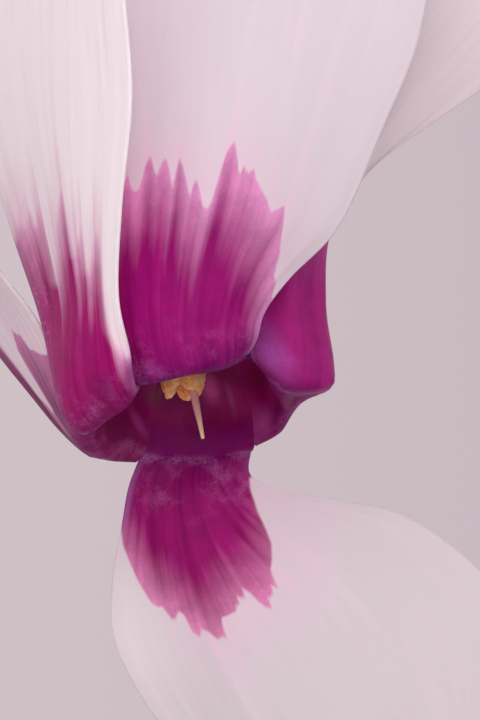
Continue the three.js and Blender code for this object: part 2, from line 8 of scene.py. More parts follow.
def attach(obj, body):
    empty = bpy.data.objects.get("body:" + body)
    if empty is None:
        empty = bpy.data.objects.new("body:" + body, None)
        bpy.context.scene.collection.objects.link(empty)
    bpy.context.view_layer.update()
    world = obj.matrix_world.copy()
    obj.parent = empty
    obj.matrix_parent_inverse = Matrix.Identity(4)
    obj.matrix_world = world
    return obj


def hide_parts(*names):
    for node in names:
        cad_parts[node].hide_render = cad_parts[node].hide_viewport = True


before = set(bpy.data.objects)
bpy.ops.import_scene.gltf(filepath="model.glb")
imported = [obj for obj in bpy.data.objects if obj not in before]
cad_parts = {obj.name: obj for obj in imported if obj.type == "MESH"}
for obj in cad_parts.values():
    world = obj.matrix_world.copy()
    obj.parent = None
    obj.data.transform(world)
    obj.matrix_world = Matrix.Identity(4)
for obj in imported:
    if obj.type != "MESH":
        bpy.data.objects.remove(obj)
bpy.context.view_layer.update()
mm = 0.001


# small tools

def linear(hexColour):
    parts = [int(hexColour[k:k + 2], 16) / 255 for k in (1, 3, 5)]
    return (*[c / 12.92 if c <= 0.04045 else ((c + 0.055) / 1.055) ** 2.4 for c in parts], 1)


# Adds a shader node and returns one of its outputs. Values and links go to its sockets in the order shown, or
# by name where a keyword starts with a capital. The other keywords are settings.
def node(tree, kind, *values, out=None, stops=(), **named):
    made = tree.nodes.new('ShaderNode' + kind)
    for name, value in named.items():
        if name[0].islower():
            setattr(made, name, value)
    shown = [socket for socket in made.inputs if socket.enabled]
    byName = [(made.inputs[name], value) for name, value in named.items() if name[0].isupper()]
    for socket, value in [*zip(shown, values), *byName]:
        if isinstance(value, bpy.types.NodeSocket):
            tree.links.new(value, socket)
        else:
            socket.default_value = linear(value) if isinstance(value, str) else value
    for k, (place, colour) in enumerate(stops):
        elements = made.color_ramp.elements
        element = elements[k] if k < 2 else elements.new(place)
        element.position = place
        element.color = linear(colour) if isinstance(colour, str) else (colour, colour, colour, 1)
    return next(socket for socket in made.outputs if socket.enabled and out in (None, socket.name))


# settings that many nodes share
soft = dict(interpolation_type='SMOOTHSTEP')
times = dict(operation='MULTIPLY')
timesPlus = dict(operation='MULTIPLY_ADD')
colours = dict(data_type='RGBA')
tinting = dict(data_type='RGBA', blend_type='MULTIPLY')


def newMaterial(name, roughness, ior, **sockets):
    made = bpy.data.materials.new(name)
    made.use_nodes = True
    for socket, value in {'Roughness': roughness, 'IOR': ior, **sockets}.items():
        made.node_tree.nodes['Principled BSDF'].inputs[socket.replace('_', ' ')].default_value = value
    return made, made.node_tree


# gives a material its colour and, from a pattern of heights, a relief so many mm deep
def dressed(made, colour, heights=None, relief=0.0, strength=0.5, **settings):
    tree = made.node_tree
    skin = tree.nodes['Principled BSDF'].inputs
    tree.links.new(colour, skin['Base Color'])
    if heights:
        bump = node(tree, 'Bump', Strength=strength, Distance=relief * mm, Height=heights, **settings)
        tree.links.new(bump, skin['Normal'])
    return made


def only(piece):
    bpy.ops.object.select_all(action='DESELECT')
    piece.select_set(True)
    bpy.context.view_layer.objects.active = piece


# what an operator adds, alone in the selection
def added(operator, **settings):
    bpy.ops.object.select_all(action='DESELECT')
    operator(**settings)
    return bpy.context.object


def together(*parts):
    return np.stack(np.broadcast_arrays(*parts), -1)


def ring(r, turn, z):
    return together(r * np.cos(turn), r * np.sin(turn), z)


# a grid primitive whose corners are put at points[row, column], given in mm
def sheetFrom(name, points, *materials):
    rows, columns = points.shape[:2]
    sheet = added(bpy.ops.mesh.primitive_grid_add, x_subdivisions=columns - 1, y_subdivisions=rows - 1,
                  size=1, calc_uvs=True)
    sheet.name = sheet.data.name = name
    sheet.data.vertices.foreach_set('co', (points * mm).reshape(-1))
    sheet.data.update()
    for material in materials:
        sheet.data.materials.append(material)
    return sheet


# numbers or directions that a piece's corners hold for its finish
def attributes(piece, **held):
    for name, values in held.items():
        values = np.asarray(values, dtype=np.float32)
        isVector = values.shape[-1] == 3 and values.size == 3 * len(piece.data.vertices)
        layer = piece.data.attributes.new(name, 'FLOAT_VECTOR' if isVector else 'FLOAT', 'POINT')
        layer.data.foreach_set('vector' if isVector else 'value', values.reshape(-1))


def modify(piece, kind, **settings):
    only(piece)
    modifier = piece.modifiers.new(kind.title(), kind)
    for name, value in settings.items():
        setattr(modifier, name, value)
    bpy.ops.object.modifier_apply(modifier=modifier.name)


def smooth(piece):
    only(piece)
    bpy.ops.object.shade_smooth()
    return piece


def closed(piece, merge=0.004, outwards=True):
    only(piece)
    bpy.ops.object.mode_set(mode='EDIT')
    bpy.ops.mesh.select_all(action='SELECT')
    bpy.ops.mesh.remove_doubles(threshold=merge * mm)
    if outwards:
        bpy.ops.mesh.normals_make_consistent(inside=False)
    bpy.ops.object.mode_set(mode='OBJECT')
    return smooth(piece)


# pushes a skin in and out by clouds, each given as size and depth
def roughened(piece, name, clouds, scale=mm, middle=0.5):
    for size, depth in clouds:
        texture = bpy.data.textures.new(name, 'CLOUDS')
        texture.noise_scale = size * scale
        modify(piece, 'DISPLACE', texture=texture, texture_coords='LOCAL', strength=depth * scale,
               mid_level=middle)
    return piece


def joined(name, pieces):
    only(pieces[0])
    for piece in pieces[1:]:
        piece.select_set(True)
    if len(pieces) > 1:
        bpy.ops.object.join()
    pieces[0].name = pieces[0].data.name = name
    return pieces[0]


def settle(piece, nodes):
    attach(piece, 'root')
    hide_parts(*nodes)


# one mesh holding a copy of the model at each place: middles, and the three directions of each copy
def copies(name, model, middles, *directions):
    count = len(model.data.vertices)
    corners = np.empty(count * 3)
    model.data.vertices.foreach_get('co', corners)
    corners = corners.reshape(-1, 3)
    points = middles[:, None]
    for k, direction in enumerate(directions):
        points = points + corners[None, :, k:k + 1] * direction[:, None]
    once = [list(face.vertices) for face in model.data.polygons]
    faces = [[v + k * count for v in face] for k in range(len(middles)) for face in once]
    mesh = bpy.data.meshes.new(name)
    mesh.from_pydata(points.reshape(-1, 3) * mm, [], faces)
    made = bpy.data.objects.new(name, mesh)
    bpy.context.scene.collection.objects.link(made)
    for material in model.data.materials:
        mesh.materials.append(material)
    bpy.data.objects.remove(model)
    return made


def unit(v):
    return v / np.maximum(np.linalg.norm(v, axis=-1, keepdims=True), 1e-9)


# rows of points with one more at either end, in line with the last two
def runOn(points):
    return np.concatenate([[2 * points[0] - points[1]], points, [2 * points[-1] - points[-2]]])


# smooth curve through rows of points, t counted in rows
def through(points, t):
    i = np.clip(np.floor(t).astype(int), 0, len(points) - 2)
    u = (t - i).reshape((-1,) + (1,) * (points.ndim - 1))
    a, b, c, d = [runOn(points)[i + k] for k in range(4)]
    return 0.5 * (2 * b + (c - a) * u + (2 * a - 5 * b + 4 * c - d) * u ** 2
                  + (3 * b - a - 3 * c + d) * u ** 3)


# value at x of a smooth curve through a table of [x, value]
def valueAt(table, x):
    table = np.array(table, float)
    t = np.interp(x, table[:, 0], np.arange(len(table))).reshape(-1)
    return through(table[:, 1:2], t).reshape(np.shape(x))


# path of a stem through its set points, evenly smooth where their spacing changes
def pathThrough(points, perSpan):
    points = np.array(points, float)
    ends = runOn(points)
    path = []
    for k in range(len(points) - 1):
        a, b, c, d = ends[k:k + 4]
        s0, s1, s2 = [np.linalg.norm(q - p) ** 0.5 for p, q in ((a, b), (b, c), (c, d))]
        slopeB = ((b - a) / s0 - (c - a) / (s0 + s1) + (c - b) / s1) * s1
        slopeC = ((c - b) / s1 - (d - b) / (s1 + s2) + (d - c) / s2) * s1
        for u in np.arange(perSpan) / perSpan:
            path.append(b + slopeB * u + (3 * (c - b) - 2 * slopeB - slopeC) * u ** 2
                        + (2 * (b - c) + slopeB + slopeC) * u ** 3)
    return np.array(path + [points[-1]])


# round stem along a path, with its own skin coordinates: around, along and a number of its own
def stem(name, path, thick, sides, seed, material):
    ahead = unit(np.gradient(path, axis=0))
    side = unit(np.array([1.0, 0, 0]) - ahead[0] * ahead[0][0])
    turn = np.linspace(0, 2 * pi, sides + 1)
    outward = []
    for step in ahead:
        side = unit(side - step * np.dot(side, step))
        outward.append(np.cos(turn)[:, None] * side + np.sin(turn)[:, None] * np.cross(step, side))
    outward = np.array(outward)
    skin = path[:, None] + outward * thick[:, None, None]
    first, last = [np.repeat(path[[end]][:, None], sides + 1, 1) for end in (0, -1)]
    piece = sheetFrom(name, np.concatenate([first, skin, last]), material)
    length = np.concatenate([[0, 0], np.cumsum(np.linalg.norm(np.diff(path, axis=0), axis=1))])
    length = np.append(length, length[-1])
    attributes(piece, spread=together(turn[None] * thick.mean(), length[:, None], seed))
    return closed(piece), outward, skin


# fine hairs standing on a skin, each a thin three-sided spike
hairLook = dict(long=0.5, thick=0.03, lean=0.35, onFlower=800, onLeaf=260)


def hairs(name, skin, outward, count, seed, scale=1.0):
    draw = np.random.default_rng(seed)
    row = draw.integers(1, len(skin) - 1, count)
    column = draw.integers(0, skin.shape[1], count)
    share = draw.random((count, 1))
    foot = skin[row, column] * share + skin[row - 1, column] * (1 - share)
    up = unit(outward[row, column] + hairLook['lean'] * draw.normal(size=(count, 3)))
    side = unit(np.cross(up, [0.3, 0.5, 0.8]))
    long = hairLook['long'] * scale * draw.uniform(0.6, 1.2, (count, 1))
    model = added(bpy.ops.mesh.primitive_cone_add, vertices=3, radius1=1, radius2=0, depth=1,
                  location=(0, 0, 0.42))
    bpy.ops.object.transform_apply(location=True)
    model.data.materials.append(hairFinish)
    thick = hairLook['thick']
    return copies(name, model, foot, side * thick, np.cross(up, side) * thick, up * long)


# where a bloom stands: right, back and crown directions, and the middle of its mouth
def bloomFrame(spec):
    faces, nod = radians(spec['faces']), radians(spec['nod'])
    front = np.array([cos(faces), sin(faces), 0])
    axis = np.array([0, 0, cos(nod)]) - front * sin(nod)
    right = unit(np.cross([0, 0, 1], front))
    return np.array([right, np.cross(axis, right), axis]), np.array(spec['mouth'], float)


def placed(points, where):
    directions, middle = where
    return points @ directions + middle


# camera: looks slightly up into the mouth of the front bloom
cameraLook = dict(lens=174.75, sensor=36, tilt=12, distance=233, across=3.33, up=4.0)

mouth = np.array([-64.0, -44.0, 268.0])
tilt = radians(cameraLook['tilt'])
viewRight = np.array([1.0, 0, 0])
viewUp = np.array([0, -sin(tilt), cos(tilt)])
viewBack = np.array([0, -cos(tilt), -sin(tilt)])

camera = added(bpy.ops.object.camera_add)
camera.name = 'camera'
camera.data.lens = cameraLook['lens']
camera.data.sensor_width = cameraLook['sensor']
camera.data.clip_start = 0.01
camera.location = Vector(mouth + viewRight * cameraLook['across'] + viewUp * cameraLook['up']
                         + viewBack * cameraLook['distance']) * mm
camera.rotation_euler = Matrix((viewRight, viewUp, viewBack)).transposed().to_euler()
bpy.context.scene.camera = camera
print('camera set')


# finishes

# Petal: thin living tissue, satin, its skin of tiny domed cells scattering light softly; white, with a
# magenta eye that runs out in flames and pales along them. Each petal brings the outline of its own eye.
petalLook = dict(
    vein=0.9,  # mm between the fine veins
    granule=0.16,  # mm between papillae: the real ones stand about 0.05 mm apart, too fine to show
    relief=0.014,  # mm
    patches=700, clouds=380, glands=2600,  # to a metre
    # the lavender tone is painted sheen, laid on the lower blade, along the margins and where a petal turns
    # over
    paleVein='#e9d5df', roseVein='#d02c98', throatCloud='#a8307e', paintedSheen='#bb86c0', glandGlint='#c986b2',
    folds=(9, 21), foldHeight=0.015,  # low ridges across a petal, in mm
    edgeThick=0.35, edgeWide=1.6,  # share of its thickness left at the edge, and mm over which it thins
)


# lays soft clouds of a tone on a colour
def clouded(tree, colour, spread, marks):
    for across, along, wide, long, turned, share, tone in marks.values():
        away = node(tree, 'Mapping', spread, (across, along, 0), (0, 0, radians(turned)), (wide, long, 1000),
                    vector_type='TEXTURE')
        away = node(tree, 'VectorMath', away, operation='LENGTH')
        share = node(tree, 'MapRange', away, 1, 0, 0, share, **soft)
        colour = node(tree, 'Mix', share, colour, tone, **colours)
    return colour


def petalFinish(name, white='#f6ebef', blush='#eac2d8', throat='#8a0358', fold='#80046a', turnOver='#930e76',
                body='#a81c7a', tip='#d98abb', edge=0.12, flames=0.3, reach=6.0, sheenMottle=0.35, band=0.2,
                sheenBandAt=0.6, rimHighlight=0.3, dots=0.0, strip=None, shadowLift=0.0, marks=None, paleMarks=None):
    made, tree = newMaterial(name, 0.5, 1.4, Subsurface_Weight=0.1, Subsurface_Scale=0.0006,
                             Subsurface_Radius=(1.0, 0.6, 0.8), Specular_IOR_Level=0.12)
    spread = node(tree, 'Attribute', out='Vector', attribute_name='spread')
    eye, into, past, margin, left = [node(tree, 'Attribute', out='Fac', attribute_name=held)
                                     for held in ('eye', 'into', 'past', 'margin', 'left')]
    place = node(tree, 'TexCoord', out='Object')
    wide = node(tree, 'VectorMath', spread, (0.8, 0.04, 1), **times)
    fine = node(tree, 'VectorMath', spread, (1.3 / petalLook['vein'], 0.09, 1), **times)
    broad, veins, cells, patch, cloud = [node(tree, 'TexNoise', *pattern) for pattern in (
        (wide, 1, 2, 0.5), (fine, 1, 3, 0.55), (place, 1000 / petalLook['granule'], 2),
        (place, petalLook['patches'], 2.5, 0.6), (place, petalLook['clouds'], 2))]
    blade = node(tree, 'MapRange', past, 0, 3)
    cloudy = node(tree, 'MapRange', cloud, 0.42, 0.58)
    # streaks from -1 to 1 push the run-out of the eye along the veins
    streak = node(tree, 'Math', broad, 1.3, veins, **timesPlus)
    streak = node(tree, 'MapRange', streak, 0.85, 1.45, -1)
    run = node(tree, 'Math', streak, flames, into, **timesPlus)
    mask = node(tree, 'MapRange', eye, -edge, edge, **soft)
    ends = node(tree, 'MapRange', run, -edge - flames / 2, edge, **soft)
    mask = node(tree, 'Math', mask, ends, **times)
    # white: faint veins, and a flush that runs on ahead of the flames
    flush = node(tree, 'MapRange', run, -5, 0.3, 0, 0.55, **soft)
    flush = node(tree, 'Math', flush, node(tree, 'MapRange', veins, 0.4, 0.62, 0.4), **times)
    paleVein = node(tree, 'MapRange', streak, 0, 1, 0, 0.35)
    pale = node(tree, 'Mix', paleVein, white, petalLook['paleVein'], **colours)
    pale = node(tree, 'Mix', flush, pale, blush, **colours)
    pale = clouded(tree, pale, spread, paleMarks or {})
    # magenta: darkest down the throat, the eye's own deep tone, and dark at the fold and where the petal
    # turns
    #     # over, partly painted shade where it curves under; paling towards the tips of the flames
    depth = node(tree, 'MapRange', past, -6, 14)
    dark = node(tree, 'ValToRGB', depth, stops=[(0.0, throat), (1.0, body), (0.21, throat), (0.27, fold),
                                                (0.35, fold), (0.43, turnOver), (0.56, body)])
    paling = node(tree, 'Math', streak, 0.6, run, **timesPlus)
    paling = node(tree, 'Math', node(tree, 'MapRange', paling, reach, 0, 0, 1), 1.5, operation='POWER')
    roseVein = node(tree, 'MapRange', streak, -0.7, 0.7, 0.2, 0)
    paling, roseVein = [node(tree, 'Math', share, blade, **times) for share in (paling, roseVein)]
    # clouded throat, and painted sheen in lavender: mottling on the lower blade, a rippled band of highlight
    # where
    #     # the petal turns over and a pale highlight along its margins
    inThroat = node(tree, 'MapRange', past, 0, -2)
    clouds = node(tree, 'Math', inThroat, node(tree, 'MapRange', cloud, 0.42, 0.62, 0, 0.3, **soft), **times)
    cellPatch = node(tree, 'Math', cells, 0.5, patch, **timesPlus)
    patches = node(tree, 'Math', node(tree, 'MapRange', cellPatch, 0.68, 0.92), cloudy, **times)
    low = node(tree, 'MapRange', past, 7, 2, 0, sheenMottle)
    for share in (blade, patches):
        low = node(tree, 'Math', low, share, **times)
    turning = node(tree, 'Math', node(tree, 'Math', past, sheenBandAt, operation='SUBTRACT'), operation='ABSOLUTE')
    turning = node(tree, 'MapRange', turning, 0.9, 0.1, 0, band, **soft)
    turning = node(tree, 'Math', turning, node(tree, 'MapRange', cellPatch, 0.68, 0.95), **times)
    paintedSheen = node(tree, 'MapRange', margin, 0.7, 0.05, 0, rimHighlight, **soft)
    paintedSheen = node(tree, 'Math', turning, paintedSheen, operation='MAXIMUM')
    paintedSheen = node(tree, 'Math', paintedSheen, low, operation='MAXIMUM')
    layers = [(paling, tip), (roseVein, petalLook['roseVein']), (clouds, petalLook['throatCloud']),
              (paintedSheen, petalLook['paintedSheen'])]
    if strip:  # a rolled or sheltered mauve edge
        share, start, stop, tone = strip
        layers.append((node(tree, 'MapRange', left, stop, start, 0, share, **soft), tone))
    for share, tone in layers:
        dark = node(tree, 'Mix', share, dark, tone, **colours)
    dark = clouded(tree, dark, spread, marks or {})
    if dots:  # pale glands near the rolled edge, drawn as painted highlights
        glandGlint = node(tree, 'TexVoronoi', place, petalLook['glands'])
        glandGlint = node(tree, 'MapRange', glandGlint, 0.35, 0.15, 0, dots)
        for share in (node(tree, 'MapRange', left, 5, 1.5), cloudy, blade):
            glandGlint = node(tree, 'Math', glandGlint, share, **times)
        dark = node(tree, 'Mix', glandGlint, dark, petalLook['glandGlint'], **colours)
    dark = node(tree, 'Mix', 1, dark, node(tree, 'MapRange', cellPatch, 0.5, 0.95, 0.86, 1.12), **tinting)
    colour = node(tree, 'Mix', mask, pale, dark, **colours)
    if shadowLift:  # painted light: paler where the next petal laps over it, lifting its shadow
        lighter = node(tree, 'MapRange', left, 6, 2, 1, shadowLift, **soft)
        colour = node(tree, 'Mix', 1, colour, lighter, **tinting)
    return dressed(made, colour, node(tree, 'Math', veins, 1.2, cells, **timesPlus), petalLook['relief'])


# Flower stalks, leaf stalks and calyxes: juicy, satin skin, wine red over green, finely streaked lengthwise.
stalkTones = dict(streakShare=0.7, dots=2200, dot='#5a2a30')  # dots to a metre


def stalkFinish(name, lower, upper, streak):
    made, tree = newMaterial(name, 0.38, 1.42, Subsurface_Weight=0.08, Subsurface_Scale=0.001)
    spread = node(tree, 'Attribute', out='Vector', attribute_name='spread')
    streaks = node(tree, 'TexNoise', node(tree, 'VectorMath', spread, (1.6, 0.06, 1), **times), 1, 4)
    place = node(tree, 'TexCoord', out='Object')
    upward = node(tree, 'MapRange', node(tree, 'SeparateXYZ', place, out='Z'), 0.11, 0.27)
    colour = node(tree, 'Mix', upward, lower, upper, **colours)
    streakShare = node(tree, 'MapRange', streaks, 0.45, 0.7, 0, stalkTones['streakShare'])
    colour = node(tree, 'Mix', streakShare, colour, streak, **colours)
    dots = node(tree, 'MapRange', node(tree, 'TexVoronoi', place, stalkTones['dots']), 0.25, 0.12, 0, 0.45)
    return dressed(made, node(tree, 'Mix', dots, colour, stalkTones['dot'], **colours), streaks, 0.08)


# Hair: clear cell threads that catch the light as a pale down.
hairFinish = newMaterial('plantHair', 0.3, 1.4, Base_Color=linear('#d8b9b4'))[0]

flowerStalk = stalkFinish('flowerStalkSkin', '#8a6a4a', '#8f4a4c', '#6e8a4a')
leafStalk = stalkFinish('leafStalkSkin', '#8b5a4c', '#9a6a55', '#76844c')


# Anther: dusty pollen-covered ochre, matt, broken into grains. They are drawn 0.13 mm across, because real
# pollen is too fine to show.
def antherFinish():
    made, tree = newMaterial('antherPollen', 0.75, 1.45, Subsurface_Weight=0.15, Subsurface_Scale=0.0006)
    place = node(tree, 'TexCoord', out='Object')
    grains = node(tree, 'TexVoronoi', place, 1000 / 0.13)
    patch = node(tree, 'TexNoise', place, 1500, 5, 0.65)
    colour = node(tree, 'ValToRGB', patch, stops=[(0.34, '#ffa436'), (0.7, '#ffe2b4'), (0.46, '#ffb064'),
                                                  (0.58, '#ffca98')])
    colour = node(tree, 'Mix', 1, colour, node(tree, 'MapRange', grains, 0, 1, 1.15, 0.82), **tinting)
    return dressed(made, colour, grains, 0.06, 0.8, invert=True)


# Style: a smooth moist thread, rose at its foot and cream at its tip.
def styleFinish():
    made, tree = newMaterial('styleThread', 0.35, 1.4, Subsurface_Weight=0.2, Subsurface_Scale=0.0006)
    spread = node(tree, 'Attribute', out='Vector', attribute_name='spread')
    share = node(tree, 'MapRange', node(tree, 'SeparateXYZ', spread, out='Y'), 1.2, 4.2)
    lines = node(tree, 'TexNoise', node(tree, 'VectorMath', spread, (9, 0.6, 1), **times), 1)
    colour = node(tree, 'ValToRGB', share, stops=[(0.0, '#e8a6ae'), (1.0, '#f2d6a2'), (0.5, '#e6b2a6')])
    shade = node(tree, 'MapRange', lines, 0.3, 0.7, 0.85, 1.1)
    return dressed(made, node(tree, 'Mix', 1, colour, shade, **tinting))


# Leaf: leathery, waxy top in dark green with silver marbling; its veins show pale beneath on dull purple.
leafLook = dict(columns=216, rows=26, thick=0.6, veinTurn=0.46, forward=0.42, quilt=0.32, teeth=44,
                tooth=0.016, stalk=1.7, stalkFoot=5.6)


def leafFinish(name, under):
    made, tree = newMaterial(name, 0.55 if under else 0.42, 1.45)
    spread, polar = [node(tree, 'Attribute', out='Vector', attribute_name=held)
                     for held in ('spread', 'polar')]
    turn, away, part = [node(tree, 'SeparateXYZ', polar, out=axis) for axis in 'XYZ']  # away in mm
    # main veins: even turns apart, bent forward towards the tip as they run out
    bent = node(tree, 'Math', node(tree, 'Math', turn, operation='SINE'), part, **times)
    bent = node(tree, 'Math', bent, leafLook['forward'], turn, **timesPlus)
    apart = leafLook['veinTurn']
    off = bent
    for operation, *values in (('ADD', apart / 2), ('FLOORED_MODULO', apart), ('SUBTRACT', apart / 2),
                               ('ABSOLUTE',), ('MULTIPLY', away)):
        off = node(tree, 'Math', off, *values, operation=operation)
    main = node(tree, 'MapRange', off, 0.75, 0.15)
    net = node(tree, 'TexVoronoi', Vector=spread, Scale=0.24, Randomness=0.9, feature='DISTANCE_TO_EDGE')
    net = node(tree, 'MapRange', net, 0.09, 0.02, 0, 0.6)
    vein = node(tree, 'Math', main, net, operation='MAXIMUM')
    cloud = node(tree, 'TexNoise', spread, 0.11, 5, 0.65)
    fleck = node(tree, 'TexNoise', spread, 0.9, 4, 0.7)
    if under:
        base = node(tree, 'ValToRGB', cloud, stops=[(0.3, '#5c3f4c'), (0.7, '#74805f'), (0.5, '#79566a')])
        colour = node(tree, 'Mix', vein, base, '#a9a37c', **colours)
    else:
        # a ring of silver between a dark heart and a dark margin, torn along the veins
        ring = part
        for noise, torn in ((cloud, 0.16), (fleck, 0.1)):
            ring = node(tree, 'Math', ring, node(tree, 'MapRange', noise, 0.3, 0.7, -torn, torn, clamp=False),
                        operation='ADD')
        ring = node(tree, 'Math', off, 0.018, ring, **timesPlus)
        silver = node(tree, 'ValToRGB', ring, stops=[(0.3, 0.0), (1.0, 0.0), (0.45, 0.85), (0.72, 0.8),
                                                     (0.83, 0.1)])
        green = node(tree, 'ValToRGB', fleck, stops=[(0.3, '#1f3d26'), (0.72, '#3f6a3a')])
        grey = node(tree, 'ValToRGB', fleck, stops=[(0.3, '#7f9a84'), (0.7, '#b6c6b4')])
        base = node(tree, 'Mix', silver, green, grey, **colours)
        colour = node(tree, 'Mix', node(tree, 'Math', vein, 0.7, **times), base, '#37603a', **colours)
    return dressed(made, colour, node(tree, 'Math', vein, 1 if under else -0.8, fleck, **timesPlus), 0.25)


# Terracotta: fired unglazed clay, matt and chalky, with faint turning lines, grit of 0.6 mm and a pale lime
# bloom in patches.
def clayFinish():
    made, tree = newMaterial('terracotta', 0.88, 1.5)
    place = node(tree, 'TexCoord', out='Object')
    cloud = node(tree, 'TexNoise', place, 22, 6, 0.6)
    grit = node(tree, 'TexNoise', place, 1000 / 0.6, 3)
    lines = node(tree, 'TexNoise', node(tree, 'VectorMath', place, (6, 6, 900), **times), 1, 3)
    colour = node(tree, 'ValToRGB', cloud, stops=[(0.3, '#a35a3d'), (0.75, '#c98a6a'), (0.5, '#b96d4e')])
    lime = node(tree, 'MapRange', node(tree, 'TexNoise', place, 38, 7, 0.72), 0.52, 0.72, 0, 0.55)
    colour = node(tree, 'Mix', lime, colour, '#dcbfae', **colours)
    colour = node(tree, 'Mix', 1, colour, node(tree, 'MapRange', grit, 0.3, 0.7, 0.88, 1.1), **tinting)
    return dressed(made, colour, node(tree, 'Math', lines, 0.9, grit, **timesPlus), 0.25, 0.6)


# Plain mottled matt finish for compost, tuber and grit: two or three tones and a rough skin.
def earthFinish(name, tones, scale, roughness, relief):
    made, tree = newMaterial(name, roughness, 1.45)
    grain = node(tree, 'TexNoise', node(tree, 'TexCoord', out='Object'), scale, 6, 0.7)
    return dressed(made, node(tree, 'ValToRGB', grain, stops=tones), grain, relief, 0.9)


antherSkin = antherFinish()
styleSkin = styleFinish()
leafTop = leafFinish('leafTopWaxed', False)
leafUnder = leafFinish('leafUndersideDull', True)
calyxSkin = stalkFinish('calyxSkin', '#6f7a45', '#6c6a45', '#8f4a4c')
print('finishes made')


# corollas: five petals joined in a short throat

throatLook = dict(radius=6.3, top=6.6, rim=0.8, waist=0.72)


def throatPoint(turn, down, lift=0.0):
    turn, down, lift = np.broadcast_arrays(np.radians(turn), down, lift)
    r = throatLook['radius'] * np.sin(down * pi / 2) ** 0.85
    fall = (throatLook['top'] - throatLook['rim']) * np.cos(down * pi / 2)
    return together(r * np.sin(turn), -r * np.cos(turn), throatLook['rim'] + fall + lift * down ** 4)


# how far down the throat each of its rows stands, ending with the two that start a petal
def throatRows(count):
    return [*np.linspace(0.001, 1, count)[:-1], throatLook['waist'], 1.0]


# signed distance, in mm, from points to a closed outline in the plane: above 0 inside
def insideBy(outline, x, y):
    outline = np.array(outline, float)
    nearest = np.full(x.shape, 1e9)
    inside = np.zeros(x.shape, bool)
    for (ax, ay), (bx, by) in zip(outline, np.roll(outline, -1, axis=0)):
        dx, dy = bx - ax, by - ay
        t = np.clip(((x - ax) * dx + (y - ay) * dy) / (dx * dx + dy * dy), 0, 1)
        nearest = np.minimum(nearest, np.hypot(x - ax - t * dx, y - ay - t * dy))
        crosses = (ay > y) != (by > y)
        inside ^= crosses & (x < ax + (y - ay) * dx / (dy if dy else 1e-9))
    return np.where(inside, nearest, -nearest)


# One petal: throat rows, then its own rows from the rim to the tip, all smooth. steps: mm between rows near
# the eye and past it, and where that changes. crease: mm from the left edge, depth, start and stop. pace:
# how fast the eye pales at either side. carry: how fast a flank of the eye loses its neighbours' depth.
def petalSheet(name, throat, rows, eyeAt, seed, material, steps, crease=None, pace=(1, 1), rimmed=None,
               carry=0):
    control = np.concatenate([throat[-2:], rows])
    spans = np.linalg.norm(np.diff(control[1:, control.shape[1] // 2], axis=0), axis=1)
    reached = np.cumsum(spans) - spans
    near, far, until = steps
    counts = [max(2, round(span / (near if begun < until else far))) for span, begun in zip(spans, reached)]
    shares = [1 + k + np.arange(count) / count for k, count in enumerate(counts)]
    rim = len(throat) - 2
    grid = np.concatenate([throat[:rim], through(control, np.concatenate([*shares, [len(control) - 1]]))])
    columns = grid.shape[1]
    u = np.linspace(0, 1, columns)
    lengths = np.linalg.norm(np.diff(grid[:, columns // 2], axis=0), axis=1)
    past = np.concatenate([[0], np.cumsum(lengths)])
    past -= past[rim]
    down = past[:, None]
    edges = np.linalg.norm(np.diff(grid, axis=1), axis=2)
    left = np.concatenate([np.zeros((len(grid), 1)), np.cumsum(edges, axis=1)], axis=1)
    margin = np.minimum(left, left[:, -1:] - left) + 3 * np.clip(1.3 - past, 0, 1)[:, None]
    # veins stand up as low ridges that fan out with the petal
    face = unit(np.cross(np.gradient(grid, axis=1), np.gradient(grid, axis=0)))
    many, more = petalLook['folds']
    ridges = np.sin(u * 2 * pi * many + seed) * 0.7 + np.sin(u * 2 * pi * more + 2 * seed) * 0.3
    height = ridges[None] * petalLook['foldHeight'] * np.clip(past / 4, 0, 1)[:, None]
    if crease:
        away, deep, start, stop = crease
        along = np.clip((past - start) / 3, 0, 1) * np.clip((stop - past) / 5, 0, 1)
        height = height - deep * along[:, None] * np.exp(-((left - away) / 0.28) ** 2)
    grid = grid + face * height[..., None]
    pastAll = np.broadcast_to(down, margin.shape)
    eye = np.maximum(eyeAt(grid, pastAll, u), 1.0 - pastAll * 1.2)
    # how far inside the eye along the vein, from where that vein last leaves it
    last = np.array([np.nonzero(eye[rim:, k] > 0)[0].max() + rim for k in range(columns)])
    following = np.minimum(last + 1, len(grid) - 1)
    ends = [eye[a, k] / max(eye[a, k] - eye[b, k], 1e-3) for k, (a, b) in enumerate(zip(last, following))]
    leaves = past[last] + np.clip(ends, 0, 1) * (past[following] - past[last])
    if carry:  # a flank of the eye takes its depth from the vein beside it
        apart = left[np.searchsorted(past, 4.0)]
        leaves = (leaves[None] - carry * np.abs(apart[:, None] - apart[None])).max(axis=1)
    sheet = sheetFrom(name, grid, material)
    attributes(sheet, spread=together(u[None] * 20, down, seed * 7.3), past=pastAll, left=left, eye=eye,
               margin=left[:, -1:] - left if rimmed == 'right' else margin,
               into=(leaves[None] - down) * np.linspace(*pace, columns)[None])
    group = sheet.vertex_groups.new(name='body')
    thin = petalLook['edgeThick']
    weights = np.clip(thin + margin / petalLook['edgeWide'], 0, 1).reshape(-1)
    for step in np.arange(thin, 1.01, 0.05):
        group.add(np.nonzero(np.abs(weights - step) <= 0.025)[0].tolist(), float(step), 'REPLACE')
    return sheet


def corollaFrom(name, sheets, thick):
    whole = closed(joined(name, sheets), 0.01)
    modify(whole, 'SOLIDIFY', thickness=thick * mm, offset=0, vertex_group='body', thickness_vertex_group=0.2)
    whole.vertex_groups.clear()
    return smooth(whole)


